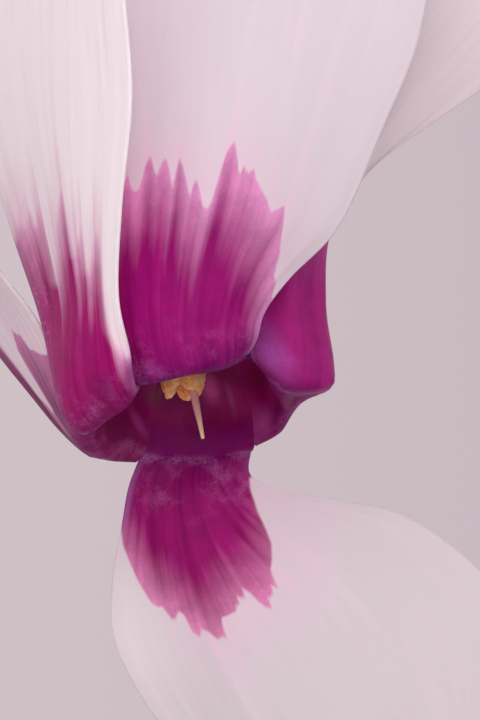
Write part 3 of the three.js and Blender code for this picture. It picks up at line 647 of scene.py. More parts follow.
# The front bloom, petal by petal. turns: its share of the throat, in degrees from the front. rows: from the
# mouth's rim to the tip, each as [across, up, forward] in mm from the middle of the mouth. eye: outline of
# its magenta, seen from the front, as [across, up] in mm.
frontPetals = dict(
    front=dict(turns=(-27, 45), columns=110, steps=(0.3, 1.0, 21), pace=(1.05, 0.85), rimmed='right', rows=[
        [[-2.9, 2.85, 5.9], [-1, 3.2, 6.7], [1.1, 3.6, 7.0], [2.6, 4.0, 6.2], [3.8, 4.8, 4.8]],
        [[-3.3, 2.45, 6.8], [-1.2, 2.98, 7.6], [0.9, 3.42, 7.9], [2.6, 3.78, 7.2], [3.8, 4.5, 6.1]],
        [[-3.8, 3.5, 7.3], [0.8, 3.9, 8.7], [4.4, 5.4, 6.6]],
        [[-4.5, 6, 7.2], [0.5, 6.2, 9.2], [4.95, 7.2, 6.7]],
        [[-5.0, 9.5, 6.6], [1.0, 10, 9.4], [6.6, 9.4, 6.3]],
        [[-5.2, 13.5, 5.8], [2.0, 14.5, 9.2], [9.8, 12.8, 5.5]],
        [[-5.6, 19.5, 4.5], [3.0, 20.5, 8.0], [12.6, 19, 4.0]],
        [[-6.5, 26, 2], [4.2, 27.5, 5], [15.2, 25.5, 1.5]],
        [[-5.5, 32, -1], [5.2, 33, 1.5], [15.6, 31.5, -2]],
        [[0, 37, -4], [5.8, 38.5, -3], [11, 36.5, -5]],
        [[4, 39.2, -6], [6, 39.8, -6], [8, 39, -6.2]],
    ], eye=[
        [-8, -8], [-8, 15.2], [-4.5, 15.2], [-4.0, 16.5], [-3.8, 15.6], [-3.65, 15.3], [-3.25, 15.35],
        [-2.9, 16.85], [-2.65, 17.3], [-2.45, 17.6], [-2.25, 16.6], [-2.05, 16.2], [-1.85, 17.0],
        [-1.5, 17.5], [-1.3, 16.9], [-1.15, 16.0], [-1.05, 15.4], [-0.85, 16.3], [-0.6, 17.45],
        [-0.4, 17.0], [-0.15, 16.0], [0.1, 14.8], [0.3, 15.8], [0.5, 16.05], [0.75, 15.1], [0.9, 14.2],
        [1.2, 14.0], [1.45, 14.6], [1.75, 15.6], [2.1, 16.8], [2.35, 17.7], [2.6, 18.15], [2.95, 18.55],
        [3.15, 17.7], [3.2, 16.3], [3.55, 17.0], [3.7, 16.45], [4.15, 16.85], [4.35, 16.0], [4.6, 15.5],
        [4.95, 14.9], [5.25, 13.9], [5.55, 14.0], [6.2, 14.35], [6.1, 13.0], [5.85, 11.1], [5.5, 9.6],
        [5.65, 9.3], [5.4, 8.0], [5.9, 6.8], [6.2, -8],
    ]),
    left=dict(turns=(277, 333), columns=84, steps=(0.4, 1.0, 17), crease=(1.0, 0.25, 4, 17), rimmed='right',
              rows=[
        # its right margin laps over the front petal
        [[-7.2, 0.55, 1.3], [-6.3, 0.15, 2.9], [-5.3, 0.8, 4.2], [-4.1, 1.7, 5.4], [-3.25, 2.6, 6.1]],
        [[-8.35, 0.6, 1.9], [-7.0, -0.65, 3.6], [-5.7, 0.1, 5.2], [-4.3, 1.0, 6.6], [-3.3, 2.15, 7.8]],
        [[-8.7, 1.5, 1.8], [-7.7, 0.3, 4.1], [-6.4, 0.9, 6.0], [-4.9, 1.8, 7.9], [-3.55, 3.1, 9.0]],
        [[-9.1, 3.2, 1.1], [-8.2, 3.0, 4.4], [-7.0, 3.5, 6.6], [-5.4, 3.9, 8.7], [-3.75, 4.6, 9.7]],
        [[-10.1, 7.2, -1.5], [-7.0, 8.0, 6.5], [-4.5, 8.2, 9.8]],
        [[-12.3, 13.7, -3], [-7.7, 14, 6.5], [-4.25, 13.8, 10.5]],
        [[-14.3, 21.3, -5], [-8.3, 20.5, 5.5], [-3.6, 20.7, 10.5]],
        [[-15.2, 28, -7], [-8.7, 27.5, 3], [-4.1, 27.3, 8.5]],
        [[-14.7, 33.3, -8], [-8.7, 33.5, -0.5], [-4.7, 32.7, 5]],
        [[-12, 37, -7], [-8.5, 38.2, -4.5], [-5.8, 37, -0.5]],
        [[-10.2, 38.8, -6], [-8.4, 39.6, -5.4], [-6.6, 38.8, -3]],
    ], eye=[
        [-2.6, -3], [-2.6, 4.3], [-3.9, 4.35], [-4.3, 4.5], [-4.85, 5.2], [-5.25, 6.0], [-5.45, 7.3],
        [-5.55, 8.7], [-5.65, 10.0], [-5.8, 11.3], [-6.05, 12.4], [-6.35, 11.3], [-6.6, 10.0], [-6.8, 11.0],
        [-7.05, 13.1], [-7.3, 12.0], [-7.5, 11.1], [-7.7, 12.2], [-8.0, 13.8], [-8.45, 15.6], [-8.65, 14.0],
        [-8.6, 11.5], [-8.7, 9.2], [-9.3, 12.2], [-9.95, 14.9], [-10.1, 13.0], [-10.5, 14.4], [-10.8, 12.8],
        [-11.2, 13.8], [-11.5, 12.1], [-12.0, 12.9], [-14, 11], [-14, -3],
    ]),
    right=dict(turns=(45, 135), columns=64, steps=(0.6, 1.2, 14), rows=[
        # its claw flares, then the blade twists
        [[4.2, 4.2, 4.1], [6.3, 2.2, 3.9], [6.9, 1.6, 0.9], [6.15, -0.3, -2.6], [4.25, -1.6, -4.9]],
        [[3.9, 5.3, 4.6], [6.7, 2.8, 5.2], [9.05, 2.25, 4.0], [6.75, 2.15, -1.9], [5.2, 0.0, -5.4]],
        [[4.1, 7.4, 4.0], [6.8, 4.8, 5.0], [9.25, 3.7, 2.9], [8.3, 4.2, -1.0], [7.4, 3.4, -4.5]],
        [[4.6, 10, 2.4], [6.6, 8.5, 3.4], [8.62, 7.6, 1.8], [8.7, 7.9, -0.6], [8.4, 7.6, -3.2]],
        [[6.0, 13, 0.5], [7.5, 12.4, 0.9], [8.85, 12.0, 0.3], [9.0, 12.1, -1], [8.95, 12.1, -2.5]],
        [[6.5, 17, -3], [10, 16, -2.5], [12, 16.8, -4]],
        [[7, 20.5, -5], [12, 20, -4.5], [16.5, 20.2, -6]],
        [[9.5, 27, -7.5], [15.5, 25.5, -7], [21, 23.5, -8]],
        [[13.5, 33.5, -10], [19.5, 31, -9.5], [25, 28, -10]],
        [[18.5, 37, -12.5], [21.5, 35.5, -12], [24.5, 33, -12]],
    ], eye=[
        [2, -4], [2, 13], [5.2, 14.4], [6.2, 13.6], [7.4, 14.2], [8.2, 13.1], [9.0, 13.4], [9.8, 12.4],
        [12, 10], [12, -4],
    ]),
    leftBack=dict(turns=(208, 277), columns=56, steps=(0.7, 1.2, 14), rimmed='right', rows=[
        # seen nearly edge on
        [[-3.8, -2.9, -6.2], [-6.6, -2.0, -3.4], [-7.3, 0.4, -1.0]],
        [[-5.4, -2.7, -7.4], [-7.6, -1.7, -4.6], [-8.1, 0.9, -1.9]],
        [[-7.0, -2.6, -8.4], [-8.2, -0.7, -5.4], [-8.4, 1.6, -2.9]],
        [[-9.1, -0.9, -10], [-9.4, 1.5, -6.2], [-9.2, 3.8, -3.2]],
        [[-11.3, 1.6, -12], [-11, 4.4, -7.2], [-10.4, 6.6, -3.4]],
        [[-13.8, 4.5, -14.5], [-13, 7.8, -8.5], [-12.7, 9.7, -3.6]],
        [[-17, 8.6, -17], [-16.4, 12, -10.5], [-15.5, 13.2, -4.2]],
        [[-20, 13.8, -18], [-20.2, 16.8, -12.5], [-19, 17.8, -6]],
        [[-23.5, 18.6, -17], [-24, 21, -13.5], [-23, 22, -9]],
        [[-26.2, 22.5, -15.5], [-26.6, 23.6, -13.5], [-26, 23.8, -11.5]],
    ], eye=[
        [-11.7, 6.2], [-11.35, 4.8], [-9.1, 1.0], [-8.75, 0.45], [-10, 1.8], [-11.3, 3.5], [-12.7, 5.3],
        [-14.5, 8], [-16, 7], [-12, -1], [-9, -4], [-3, -5], [-3, 0], [-6, 5], [-9.5, 4.4], [-10.6, 4.9],
        [-10.95, 5.6],
    ]),
    back=dict(turns=(135, 208), columns=104, steps=(0.32, 1.0, 17), carry=1.6, rows=[
        # hangs and fans out to the right
        [[4.05, -2.4, -6.2], [0.3, -3.0, -6.8], [-3.6, -2.9, -6.2]],
        [[4.15, -4.0, -6.8], [0, -4.9, -6.0], [-4.3, -4.7, -6.9]],
        [[6.6, -5.05, -8], [0.6, -7.8, -5.2], [-4.8, -7.6, -7.4]],
        [[10.5, -5.8, -9], [2.0, -11, -4.6], [-5.4, -11, -7.5]],
        [[14.5, -6.7, -9.5], [3.6, -14.2, -4.2], [-5.4, -14.7, -7]],
        [[18.5, -9.3, -9.5], [5.5, -17.5, -4], [-4.3, -17.5, -6]],
        [[21.5, -12.8, -9], [7.5, -20.8, -4], [-2.5, -20.3, -5]],
        [[22, -18, -8], [9.8, -24, -4.2], [0.5, -23.6, -4]],
        [[19.5, -23.5, -7], [12, -26.6, -4.6], [4.5, -26.5, -4]],
        [[16, -27.8, -5.8], [12.5, -28.6, -5], [9, -28.5, -4.6]],
    ], eye=[
        [-3.9, 8], [-3.9, -2.9], [-4.6, -4.6], [-4.8, -6.0], [-4.6, -6.9], [-4.4, -8.3], [-3.9, -9.5],
        [-3.45, -10.5], [-2.9, -11.5], [-2.4, -12.3], [-2.0, -12.5], [-1.75, -12.4], [-1.3, -13.0],
        [-0.95, -13.5], [-0.8, -13.1], [-0.7, -12.7], [-0.3, -13.0], [0.05, -13.7], [0.3, -14.2],
        [0.75, -14.5], [0.85, -13.9], [1.25, -14.1], [1.9, -14.65], [2.1, -14.45], [2.5, -14.6],
        [2.2, -13.8], [2.1, -13.1], [2.4, -13.1], [3.1, -12.75], [3.0, -12.4], [3.3, -12.3], [3.05, -11.7],
        [3.65, -12.0], [3.45, -11.2], [4.0, -11.6], [4.7, -12.3], [5.5, -12.85], [5.1, -11.8], [5.5, -11.8],
        [5.35, -11.1], [5.8, -11.3], [5.3, -10.1], [5.4, -9.3], [5.35, -8.3], [4.95, -7.3], [4.4, -6.1],
        [4.0, -4.9], [3.92, -4.4], [3.92, -3.85], [4.4, -3.5], [4.6, 8],
    ]),
)
# Marks are soft clouds of a tone where a petal plainly shows one, some its own tone and some painted shade or
# # light as noted: twentieths of its width, mm past the mouth, width, length, turn in degrees, strength and
# tone.
# # Each petal's white, and in part its magentas, is set lighter or darker as painted light and shade for how
# it is lit.
frontFinish = dict(
    # the front petal is made paler near its left edge, painted light against the left petal's shadow
    front=dict(white='#dccfd7', body='#8c0664', fold='#5a0254', turnOver='#62035a', tip='#e09cc8',
               sheenMottle=0.28, rimHighlight=0.55, reach=6.2, shadowLift=1.18),
    left=dict(white='#f9eef1', blush='#dda0c2', body='#9a0462', fold='#7c0454', turnOver='#76085a',
              tip='#eab0d2', edge=0.6, flames=0.5, reach=5.2, sheenMottle=0.45, rimHighlight=0.35, dots=0.5,
              strip=(0.6, 0.4, 1.5, '#9c5484'),
              # painted shade: a dark patch above the fold, and a dark line along the crease
              marks=dict(shadeAboveFold=(14.5, 5.4, 3, 1.8, 0, 0.5, '#6c0058'),
                         crease=(3.7, 13, 0.5, 2.6, 8, 0.6, '#5c1040'),
                         rolledRim=(19.4, 5, 2.2, 2.8, 0, 0.8, '#94307c'))),
    right=dict(white='#dacdd1', body='#8c1466', fold='#7c0a5c', turnOver='#7c1a6a', tip='#b05a98', flames=0.5,
               sheenMottle=0.6, rimHighlight=0.35,
               # painted highlight: violet shine, pale rim; painted shade: dark notch, deep throat; painted
               # light: throat wall
               marks=dict(violetShine=(2.2, 5.8, 4.5, 2.6, 0, 0.45, '#a25cb4'),
                          rolledRim=(10, 5.2, 2.5, 0.8, 0, 0.5, '#cc88c0'),
                          notchShade=(12.5, 7.6, 1.3, 1.8, 0, 0.7, '#5a0038'),
                          throatShade=(16, -3.5, 5, 2, 0, 0.6, '#500018'),
                          litThroatWall=(18.5, -0.6, 5, 1.8, 0, 0.55, '#b4509a'))),
    leftBack=dict(white='#efe0e6', body='#702254', fold='#7a104f', turnOver='#7a1c60', tip='#c886ae',
                  rimHighlight=0.7, reach=8.0,
                  # a grey-brown patch in the throat
                  marks=dict(greyBrownPatch=(0, -3.5, 3.5, 1.5, 0, 0.6, '#80505a'),
                             throatStreak=(2.9, -1.2, 4.2, 0.8, -16, 0.5, '#b84aa4'))),
    back=dict(white='#d6ccd0', throat='#7a0348', fold='#74045a', turnOver='#7c0458', body='#88005a',
              tip='#de92ba', band=0.4, sheenBandAt=1.2, sheenMottle=0.3, rimHighlight=0.15, reach=5.0,
              # painted highlight: a pink glow in the throat beside the anthers
              marks=dict(throatHighlight=(7.9, -4.1, 3.0, 1.6, 0, 0.8, '#d0589e'),
                         throatStreak=(3.9, -3.1, 1.2, 1.8, 0, 0.35, '#9a5a80'),
                         # a grey-brown patch in the throat
                         greyBrownPatch=(20, -3.5, 3.5, 1.5, 0, 0.6, '#80505a'),
                         mauveEdge=(19.7, 4.5, 1.2, 4.5, 0, 0.5, '#a866a8')),
              # painted light: the lower left lobe made paler where it falls in shade
              paleMarks=dict(litLobe=(18.6, 13, 7, 9, 0, 1.0, '#e6dce0'))),
)
frontLook = dict(throatRows=9, thick=0.5, lip=1.9, lipAt=45, lipWide=(22, 14))


def frontCorolla(spec):
    where = bloomFrame(spec)
    sheets = []
    for k, (name, petal) in enumerate(frontPetals.items()):
        shape = dict(petal)
        turns, columns, rows, outline = [shape.pop(key) for key in ('turns', 'columns', 'rows', 'eye')]
        u = np.linspace(0, 1, columns + 1)
        turn = turns[0] + (turns[1] - turns[0]) * u
        spread = np.where(turn < frontLook['lipAt'], *frontLook['lipWide'])
        lift = frontLook['lip'] * np.exp(-((turn - frontLook['lipAt']) / spread) ** 2)
        throat = np.array([placed(throatPoint(turn, down, lift), where)
                           for down in throatRows(frontLook['throatRows'])])
        rows = [np.array(row, float) for row in rows]
        rows = np.array([through(row, u * (len(row) - 1)) for row in rows])
        rows = mouth + rows[..., :1] * viewRight + rows[..., 1:2] * viewUp + rows[..., 2:] * viewBack

        def eyeAt(grid, past, u, outline=outline):
            local = grid - mouth
            # what is nearer looks larger
            nearer = cameraLook['distance'] / (cameraLook['distance'] - local @ viewBack)
            x, y = [cameraLook[held] + (local @ way - cameraLook[held]) * nearer
                    for held, way in (('across', viewRight), ('up', viewUp))]
            return insideBy(outline, x, y)
        finish = petalFinish('petal_' + name, **frontFinish[name])
        sheets.append(petalSheet(name, throat, rows, eyeAt, float(k), finish, **shape))
    return corollaFrom('frontCorolla', sheets, frontLook['thick'])


# The other blooms: petals folded back at the mouth and standing up beside the throat, twisted and flared.
foldedLook = dict(
    long=37, columns=28, steps=(0.6, 1.1, 16), thick=0.5, eye=12.0, eyeSides=3.0, throatRows=7, flare=9.5,
    twist=28, swirl=12, wave=0.6, at=(3, 6, 9, 12.5, 16, 20, 24, 27.5, 31, 33.5, 35.5, 37),
    width=[[0, 4.3], [3, 4.6], [9, 6.2], [16, 8.8], [24, 10.8], [31, 9], [35, 5.5], [37, 2.2]],
    shares=[(0, -31.5, 31.5), (62, 31.5, 94), (124, 94, 180), (-124, -180, -94), (-62, -94, -31.5)],
)


def foldedRows(centre, k, bloom, v):
    rows = []

    def put(radius, height, half, twist, bow, swirl=0.0):
        side = half * v * cos(radians(twist))
        away = radius + half * v * sin(radians(twist)) + bow
        c = radians(centre + swirl)
        rows.append(together(away * sin(c) + side * cos(c), -away * cos(c) + side * sin(c), height))
    put(7.5 - 0.5 * v * v, -0.35, 4.0, 0, 0)
    put(8.8 - 0.6 * v * v, 0.9, 4.2, 3, 0)
    long = 1 + 0.06 * sin(bloom * 2.1 + k * 1.3)
    flare = foldedLook['flare'] + 2 * sin(bloom * 1.3 + k * 2.2)
    for s in foldedLook['at']:
        t = s / foldedLook['long']
        clear = 1 - 0.2 * np.exp(-((s - 11) / 6) ** 2) if abs(centre) > 100 else 1
        half = float(np.interp(s, *np.array(foldedLook['width']).T)) * clear
        wave = foldedLook['wave'] * np.sin(s * 0.37 + k * 2 + bloom) * v * v * min(1, s / 14)
        height = (0.9 + s * 0.96) * (long if s > 3 else 1)
        put(9 + flare * t ** 1.5, height - 0.6 * v * v * (s > 33) * (s - 33) / 2, half,
            10 + foldedLook['twist'] * t, wave - (half * v) ** 2 / 34, foldedLook['swirl'] * t * t)
    return np.array(rows)


def foldedCorolla(number, spec, finish):
    where = bloomFrame(spec)
    v = np.linspace(-1, 1, foldedLook['columns'] + 1)

    def eyeAt(grid, past, u):
        return foldedLook['eye'] - foldedLook['eyeSides'] * (2 * u - 1) ** 2 - past
    sheets = []
    for k, (centre, start, stop) in enumerate(foldedLook['shares']):
        turn = start + (stop - start) * (v + 1) / 2
        throat = np.array([placed(throatPoint(turn, down), where)
                           for down in throatRows(foldedLook['throatRows'])])
        rows = placed(foldedRows(centre, k, number - 1, v), where)
        sheets.append(petalSheet('petal', throat, rows, eyeAt, number * 5.0 + k, finish, foldedLook['steps']))
    return corollaFrom('corolla' + str(number), sheets, foldedLook['thick'])


# crook and calyx: the stalk bends over and ends in five pointed sepals on the crown of the throat
tuberLook = dict(radius=28, middle=102, up=15, down=13)
stalkLook = dict(
    thick=1.6, sides=18, perSpan=10, hole=5.7,
    crook=[[0, 0, 7.9], [0, 0.4, 10.2], [0, 3.2, 13], [0, 6.8, 13.3], [0, 10, 11], [0, 11.8, 6.2],
           [0, 12.3, 0]],
    taper=[[0, 0.03, 0.2, 0.35, 1], [0.9, 0.8, 0.85, 0.95, 1.0]],
)
calyxLook = dict(turned=54, rows=16, near=0.04, far=0.58, notch=0.26, off=1.55, keel=0.22, thick=0.7)


# where a stalk leaves the tuber's skin
def footOn(x, y):
    r = np.hypot(x, y) / tuberLook['radius']
    return np.array([x, y, tuberLook['middle'] + tuberLook['up'] * max(0, 1 - r ** 2.4) ** 0.36])


def sepals(name, where, scale):
    turn = np.linspace(0, 360, 121)
    side = turn + calyxLook['turned']
    tooth = np.abs((turn / 72 + 0.5) % 1 - 0.5) * 2  # 0 on a sepal's midline, 1 between two
    reach = calyxLook['far'] - calyxLook['notch'] * tooth ** 1.4
    rows = []
    for share in np.linspace(0.02, 1, calyxLook['rows']):
        down = calyxLook['near'] + (reach - calyxLook['near']) * share
        ahead = unit(throatPoint(side, down + 0.01) - throatPoint(side, down - 0.01))
        outward = unit(np.cross(ahead, ring(1, np.radians(side), 0)))
        keel = calyxLook['keel'] * (1 - tooth) ** 2 * np.sin(share * pi) + 0.3 * share ** 6
        rows.append(throatPoint(side, down) + outward * (calyxLook['off'] + keel)[:, None])
    piece = sheetFrom(name, placed(np.array(rows) * scale, where), calyxSkin)
    attributes(piece, spread=together(turn[None] * 0.1, np.linspace(0, 6, calyxLook['rows'])[:, None], 3.0))
    closed(piece)
    modify(piece, 'SOLIDIFY', thickness=calyxLook['thick'] * scale * mm, offset=0)
    return smooth(piece)


def bloomStalk(name, spec, seed, scale=1.0):
    where = bloomFrame(spec)
    foot = footOn(*spec['foot'])
    points = [*placed(np.array(stalkLook['crook'], float) * scale, where), *spec['via'], foot + [0, 0, 12],
              foot - [0, 0, stalkLook['hole']]]
    path = pathThrough(points, stalkLook['perSpan'])
    t = np.linspace(0, 1, len(path))
    thick = stalkLook['thick'] * scale * np.interp(t, *stalkLook['taper'])
    thick = thick * (1 + 0.02 * np.sin(t * 60))
    stalk, outward, skin = stem(name, path, thick, stalkLook['sides'], seed, flowerStalk)
    down = hairs(name + 'Hairs', skin, outward, int(hairLook['onFlower'] * scale), int(seed) + 40)
    return joined(name, [stalk, sepals(name + 'Sepals', where, scale), down])


blooms = [
    dict(mouth=mouth, faces=-90, nod=12.9, foot=(-5, -4),
         via=[(-63, -29.5, 254), (-60, -27, 240), (-50, -23, 225), (-31, -15, 207), (-14, -8, 184)]),
    dict(mouth=(14, 46, 292), faces=80, nod=8, foot=(1, 4),
         via=[(11.5, 32, 272), (9, 24, 240), (5, 13, 200)]),
    dict(mouth=(54, -38, 272), faces=-35, nod=14, foot=(7, -5),
         via=[(43, -30, 254), (36, -25, 236), (24, -16, 216), (13, -9, 190)]),
    dict(mouth=(56, 28, 262), faces=28, nod=10, foot=(10, 8),
         via=[(44.5, 22, 246), (37, 18, 231), (25, 13, 214), (14, 9, 190)]),
    dict(mouth=(4, -14, 320), faces=-110, nod=6, foot=(0, -4), via=[(8, -1, 300), (6, -2, 240)]),
    dict(mouth=(-20, 56, 256), faces=115, nod=12, foot=(-4, 9),
         via=[(-14.5, 44, 240), (-12, 36, 226), (-9, 24, 210), (-5, 13, 186)]),
]


# anthers: a cone of five, each with two pollen sacs, their tips standing apart round the style
antherLook = dict(
    teeth=[140, 75, 18, -50, -130], notch=0.95, tilt=0.72, grains=((0.4, 0.16), (0.14, 0.12)),
    outer=[[5.0, 0.05], [5.0, 1.2], [4.6, 1.65], [4.0, 1.8], [3.3, 1.72], [2.7, 1.55], [2.2, 1.35],
           [1.9, 1.1], [1.95, 0.85], [2.4, 0.68], [3.1, 0.6], [3.3, 0.05]],
)


def anthers(name, spec, seed, columns, count):
    turn = np.linspace(0, 2 * pi, columns + 1)
    around = np.degrees(turn)[:, None] - np.array(antherLook['teeth'])[None]
    off = np.abs((around + 180) % 360 - 180).min(1) / 36  # 0 at a tip, 1 halfway to the next
    outer = np.array(antherLook['outer'])
    rows = []
    for t in np.linspace(0, len(outer) - 1, count):
        z, r = through(outer, np.array([t]))[0]
        onSkin = float(np.interp(t, [0, 2, 8, 10], [0, 1, 1, 0]))
        sac = 0.05 * np.cos(turn * 10 + seed) - 0.16 * off ** 3
        cleft = np.where(np.abs(np.degrees(turn) - 107) < 33, 1, 0.35)
        notch = float(np.interp(z, [2.0, 3.4], [1, 0])) * antherLook['notch'] * off ** 2 * cleft
        q = max(r, 0.05) * (1 + onSkin * sac)
        lean = -antherLook['tilt'] * float(np.interp(z, [1.5, 5], [1, 0.2]))
        swollen = np.where(np.cos(turn) > 0, np.interp(z, [1.9, 3.6], [1.12, 0.76]), 1)
        rows.append(together(q * np.cos(turn) * swollen + lean, q * np.sin(turn), z + notch))
    piece = closed(sheetFrom(name, placed(np.array(rows), bloomFrame(spec)), antherSkin))
    return smooth(roughened(piece, name + 'Grain', antherLook['grains']))


styleLook = dict(points=[[0.08, 0, 3.0], [0.14, 0, 2.6], [0.42, 0, 1.0], [0.62, 0.03, 0], [0.86, 0.1, -1.3]],
                 taper=[[0, 0.3, 0.6, 0.97, 1], [0.3, 0.28, 0.22, 0.125, 0.1]])


def style(name, spec):
    path = pathThrough(placed(np.array(styleLook['points']), bloomFrame(spec)), 10)
    thick = np.interp(np.linspace(0, 1, len(path)), *styleLook['taper'])
    return stem(name, path, thick, 16, 1.0, styleSkin)[0]


otherPetals = petalFinish('petal_others', white='#f4e8ec', edge=0.3, flames=2.4)
for number, spec in enumerate(blooms, 1):
    name = 'bloom' + str(number)
    corolla = frontCorolla(spec) if number == 1 else foldedCorolla(number, spec, otherPetals)
    settle(corolla, ['bloom_%d_corolla' % number])
    settle(bloomStalk(name + 'Stalk', spec, float(number)), ['bloom_%d_stalk' % number])
    fineness = (180, 96) if number == 1 else (90, 48)
    settle(anthers(name + 'Anthers', spec, float(number), *fineness), ['bloom_%d_anthers' % number])
    settle(style(name + 'Style', spec), ['bloom_%d_style' % number])
print('blooms made')


# buds: petals furled round each other in a twist
buds = [
    dict(mouth=(-30, 12, 250), faces=160, nod=20, foot=(-4, 0), via=[(-20, 8, 234), (-9, 3, 198)]),
    dict(mouth=(34, 8, 243), faces=10, nod=18, foot=(6, 1), via=[(24, 6, 226), (12, 3, 192)]),
    dict(mouth=(20, -40, 238), faces=-65, nod=24, foot=(2, -8), via=[(15, -31, 222), (7, -17, 188)]),
]
budLook = dict(scale=0.72, twist=24, fold=0.2, base=4.6, profile=[
    [4.6, 0.05], [4.5, 1.3], [3.5, 3], [1.2, 4.2], [-3, 4.9], [-8, 4.5], [-13, 3.4], [-17, 2.1], [-20, 0.8],
    [-21.2, 0.02]])


def budPetals(name, spec, seed, finish):
    turn = np.linspace(0, 360, 101)
    profile = np.array(budLook['profile'])
    rows = []
    for t in np.linspace(0, len(profile) - 1, 84):
        z, r = through(profile, np.array([t]))[0]
        lap = ((turn - budLook['twist'] * t) / 72) % 1  # each petal's free edge stands over the next one
        q = max(r, 0.02) * (1 - budLook['fold'] * lap ** 3 * min(1, t / 3))
        rows.append(ring(q, np.radians(turn), z))
    grid = np.array(rows)
    piece = sheetFrom(name, placed(grid, bloomFrame(spec)), finish)
    past = budLook['base'] - grid[..., 2]
    attributes(piece, spread=together(turn[None] / 12 - past * 0.6, past, seed), past=3 + past * 0.5,
               margin=np.full(past.shape, 3.0), left=np.full(past.shape, 9.0), eye=5.0 - past,
               into=5.0 - past)
    return closed(piece)


budSkin = petalFinish('petal_buds', white='#f0dfe4', blush='#e3aecb', edge=1.2, flames=2.0)
for number, spec in enumerate(buds, 1):
    name = 'bud' + str(number)
    stalk = bloomStalk(name + 'Stalk', spec, 10.0 + number, budLook['scale'])
    settle(stalk, ['bud_%d_stalk' % number])
    settle(budPetals(name + 'Petals', spec, 20.0 + number, budSkin), ['bud_%d_petals' % number])
print('buds made')


# leaves: heart-shaped, toothed and waved, quilted between their veins
heart = [[0, 1], [14, 0.95], [28, 0.885], [42, 0.835], [56, 0.8], [70, 0.77], [84, 0.75], [98, 0.74],
         [112, 0.73], [126, 0.71], [139, 0.68], [151, 0.62], [161, 0.49], [170, 0.27], [180, 0.11]]
# side of the plant, how far out and up blade meets stalk, length to tip, fall outward, roll, foot on tuber
leaves = [
    (20, 44, 204, 40, 21, 1, (9, 3)), (157, 45, 199, 41, 20, -4, (-9, 4)),
    (295, 48, 194, 43, 22, 3, (5, -11)), (72, 51, 189, 45, 20, -3, (5, 12)),
    (210, 53, 184, 46, 21, 3, (-12, -6)), (347, 56, 179, 47, 20, -3, (15, -4)),
    (125, 59, 173, 48, 20, 3, (-8, 13)), (262, 62, 167, 49, 21, -3, (-2, -16)),
    (40, 65, 162, 50, 20, 3, (15, 11)), (177, 68, 157, 50, 20, -3, (-17, 1)),
    (315, 71, 152, 50, 21, 3, (13, -12)), (92, 74, 147, 50, 21, -3, (0, 18)),
    (232, 77, 142, 50, 22, 3, (-12, -13)), (7, 80, 138, 50, 22, -3, (20, 3)),
    (145, 82, 134, 49, 23, 3, (-16, 9)), (282, 84, 130, 48, 23, -3, (5, -19)),
]


def leafPiece(number, az, out, up, long, dip, roll, foot):
    k = number - 1
    outward = np.array([cos(radians(az)), sin(radians(az)), 0])
    along = outward * cos(radians(dip)) - np.array([0, 0, sin(radians(dip))])
    flat = np.cross([0, 0, 1], outward)
    across = flat * cos(radians(roll)) + np.cross(along, flat) * sin(radians(roll))
    over = np.cross(along, across)
    middle = outward * out + np.array([0, 0, up])
    turn = np.linspace(-pi, pi, leafLook['columns'] + 1)[None]
    part = np.linspace(0.004, 1, leafLook['rows'])[:, None]
    crenate = 2 * np.abs(np.sin(turn * leafLook['teeth'] / 2 + 0.3 * k)) ** 0.7 - 1
    teeth = leafLook['tooth'] * crenate * np.clip((2.95 - np.abs(turn)) * 5, 0, 1) * part ** 6
    reach = long * (valueAt(heart, np.degrees(np.abs(turn))) + teeth)
    share = part * reach / long
    wave = 1.6 * np.sin(5 * turn + k * 1.7) + 0.9 * np.sin(9 * turn + k * 2.9)
    rise = -0.14 * long * share ** 2 + wave * share ** 3 * np.where(np.abs(turn) > 2.6, 0.4, 1)
    bent = turn + leafLook['forward'] * np.sin(turn) * part
    quilt = np.abs(np.sin(bent * pi / leafLook['veinTurn'])) ** 0.8 * np.sin(part * pi) ** 0.6
    rise = rise + leafLook['quilt'] * quilt
    size = part * reach
    ahead, aside = size * np.cos(turn), size * np.sin(turn)
    grid = middle + along * ahead[..., None] + across * aside[..., None] + over * rise[..., None]
    blade = sheetFrom('leaf', grid, leafTop, leafUnder)
    attributes(blade, polar=together(turn, size, part), spread=together(ahead, aside, 40.0 * k))
    closed(blade, 0.003, outwards=False)
    faces = np.array([p.normal[:] for p in blade.data.polygons])
    if (faces @ over).mean() < 0:
        blade.data.flip_normals()
    modify(blade, 'SOLIDIFY', thickness=leafLook['thick'] * mm, offset=0, material_offset=1)
    smooth(blade)
    base = footOn(*foot)
    way = middle - base
    rising = np.array([0, 0, way[2]])
    path = pathThrough([base - [0, 0, leafLook['stalkFoot']], base + [0, 0, 3],
                        base + way * 0.3 + rising * 0.13 - outward * 3,
                        base + way * 0.7 + rising * 0.12 + outward, middle - over * 0.1], 12)
    t = np.linspace(0, 1, len(path))
    thick = leafLook['stalk'] * (1 - 0.25 * t) * (1 + 0.02 * np.sin(t * 50))
    stalk, sides, skin = stem('petiole', path, thick, 16, number + 0.5, leafStalk)
    down = hairs('petioleHairs', skin, sides, hairLook['onLeaf'], 70 + number, 0.8)
    return joined('leaf%02d' % number, [blade, stalk, down])


for number, spec in enumerate(leaves, 1):
    settle(leafPiece(number, *spec), ['leaf_%02d' % number])
print('leaves made')


# tuber: flattened, corky, with lumps large and small, each as size and height in mm
corkLook = dict(tones=[(0.3, '#4a3427'), (0.75, '#9a7a5c'), (0.5, '#6f5240')], lumps=((9, 1.3), (2.2, 0.5)))


def tuber():
    rows = []
    for h in -np.cos(np.linspace(0, pi, 72)):
        z = tuberLook['middle'] + h * (tuberLook['down'] if h < 0 else tuberLook['up'])
        r = tuberLook['radius'] * max(1e-4, 1 - abs(h) ** 2.6) ** 0.42
        rows.append(ring(r, np.linspace(0, 2 * pi, 145), z))
    skin = earthFinish('tuberCork', corkLook['tones'], 260, 0.85, 0.5)
    body = closed(sheetFrom('tuberBody', np.array(rows), skin))
    return roughened(body, 'lumps', corkLook['lumps'], middle=0.8)


settle(tuber(), ['tuber'])


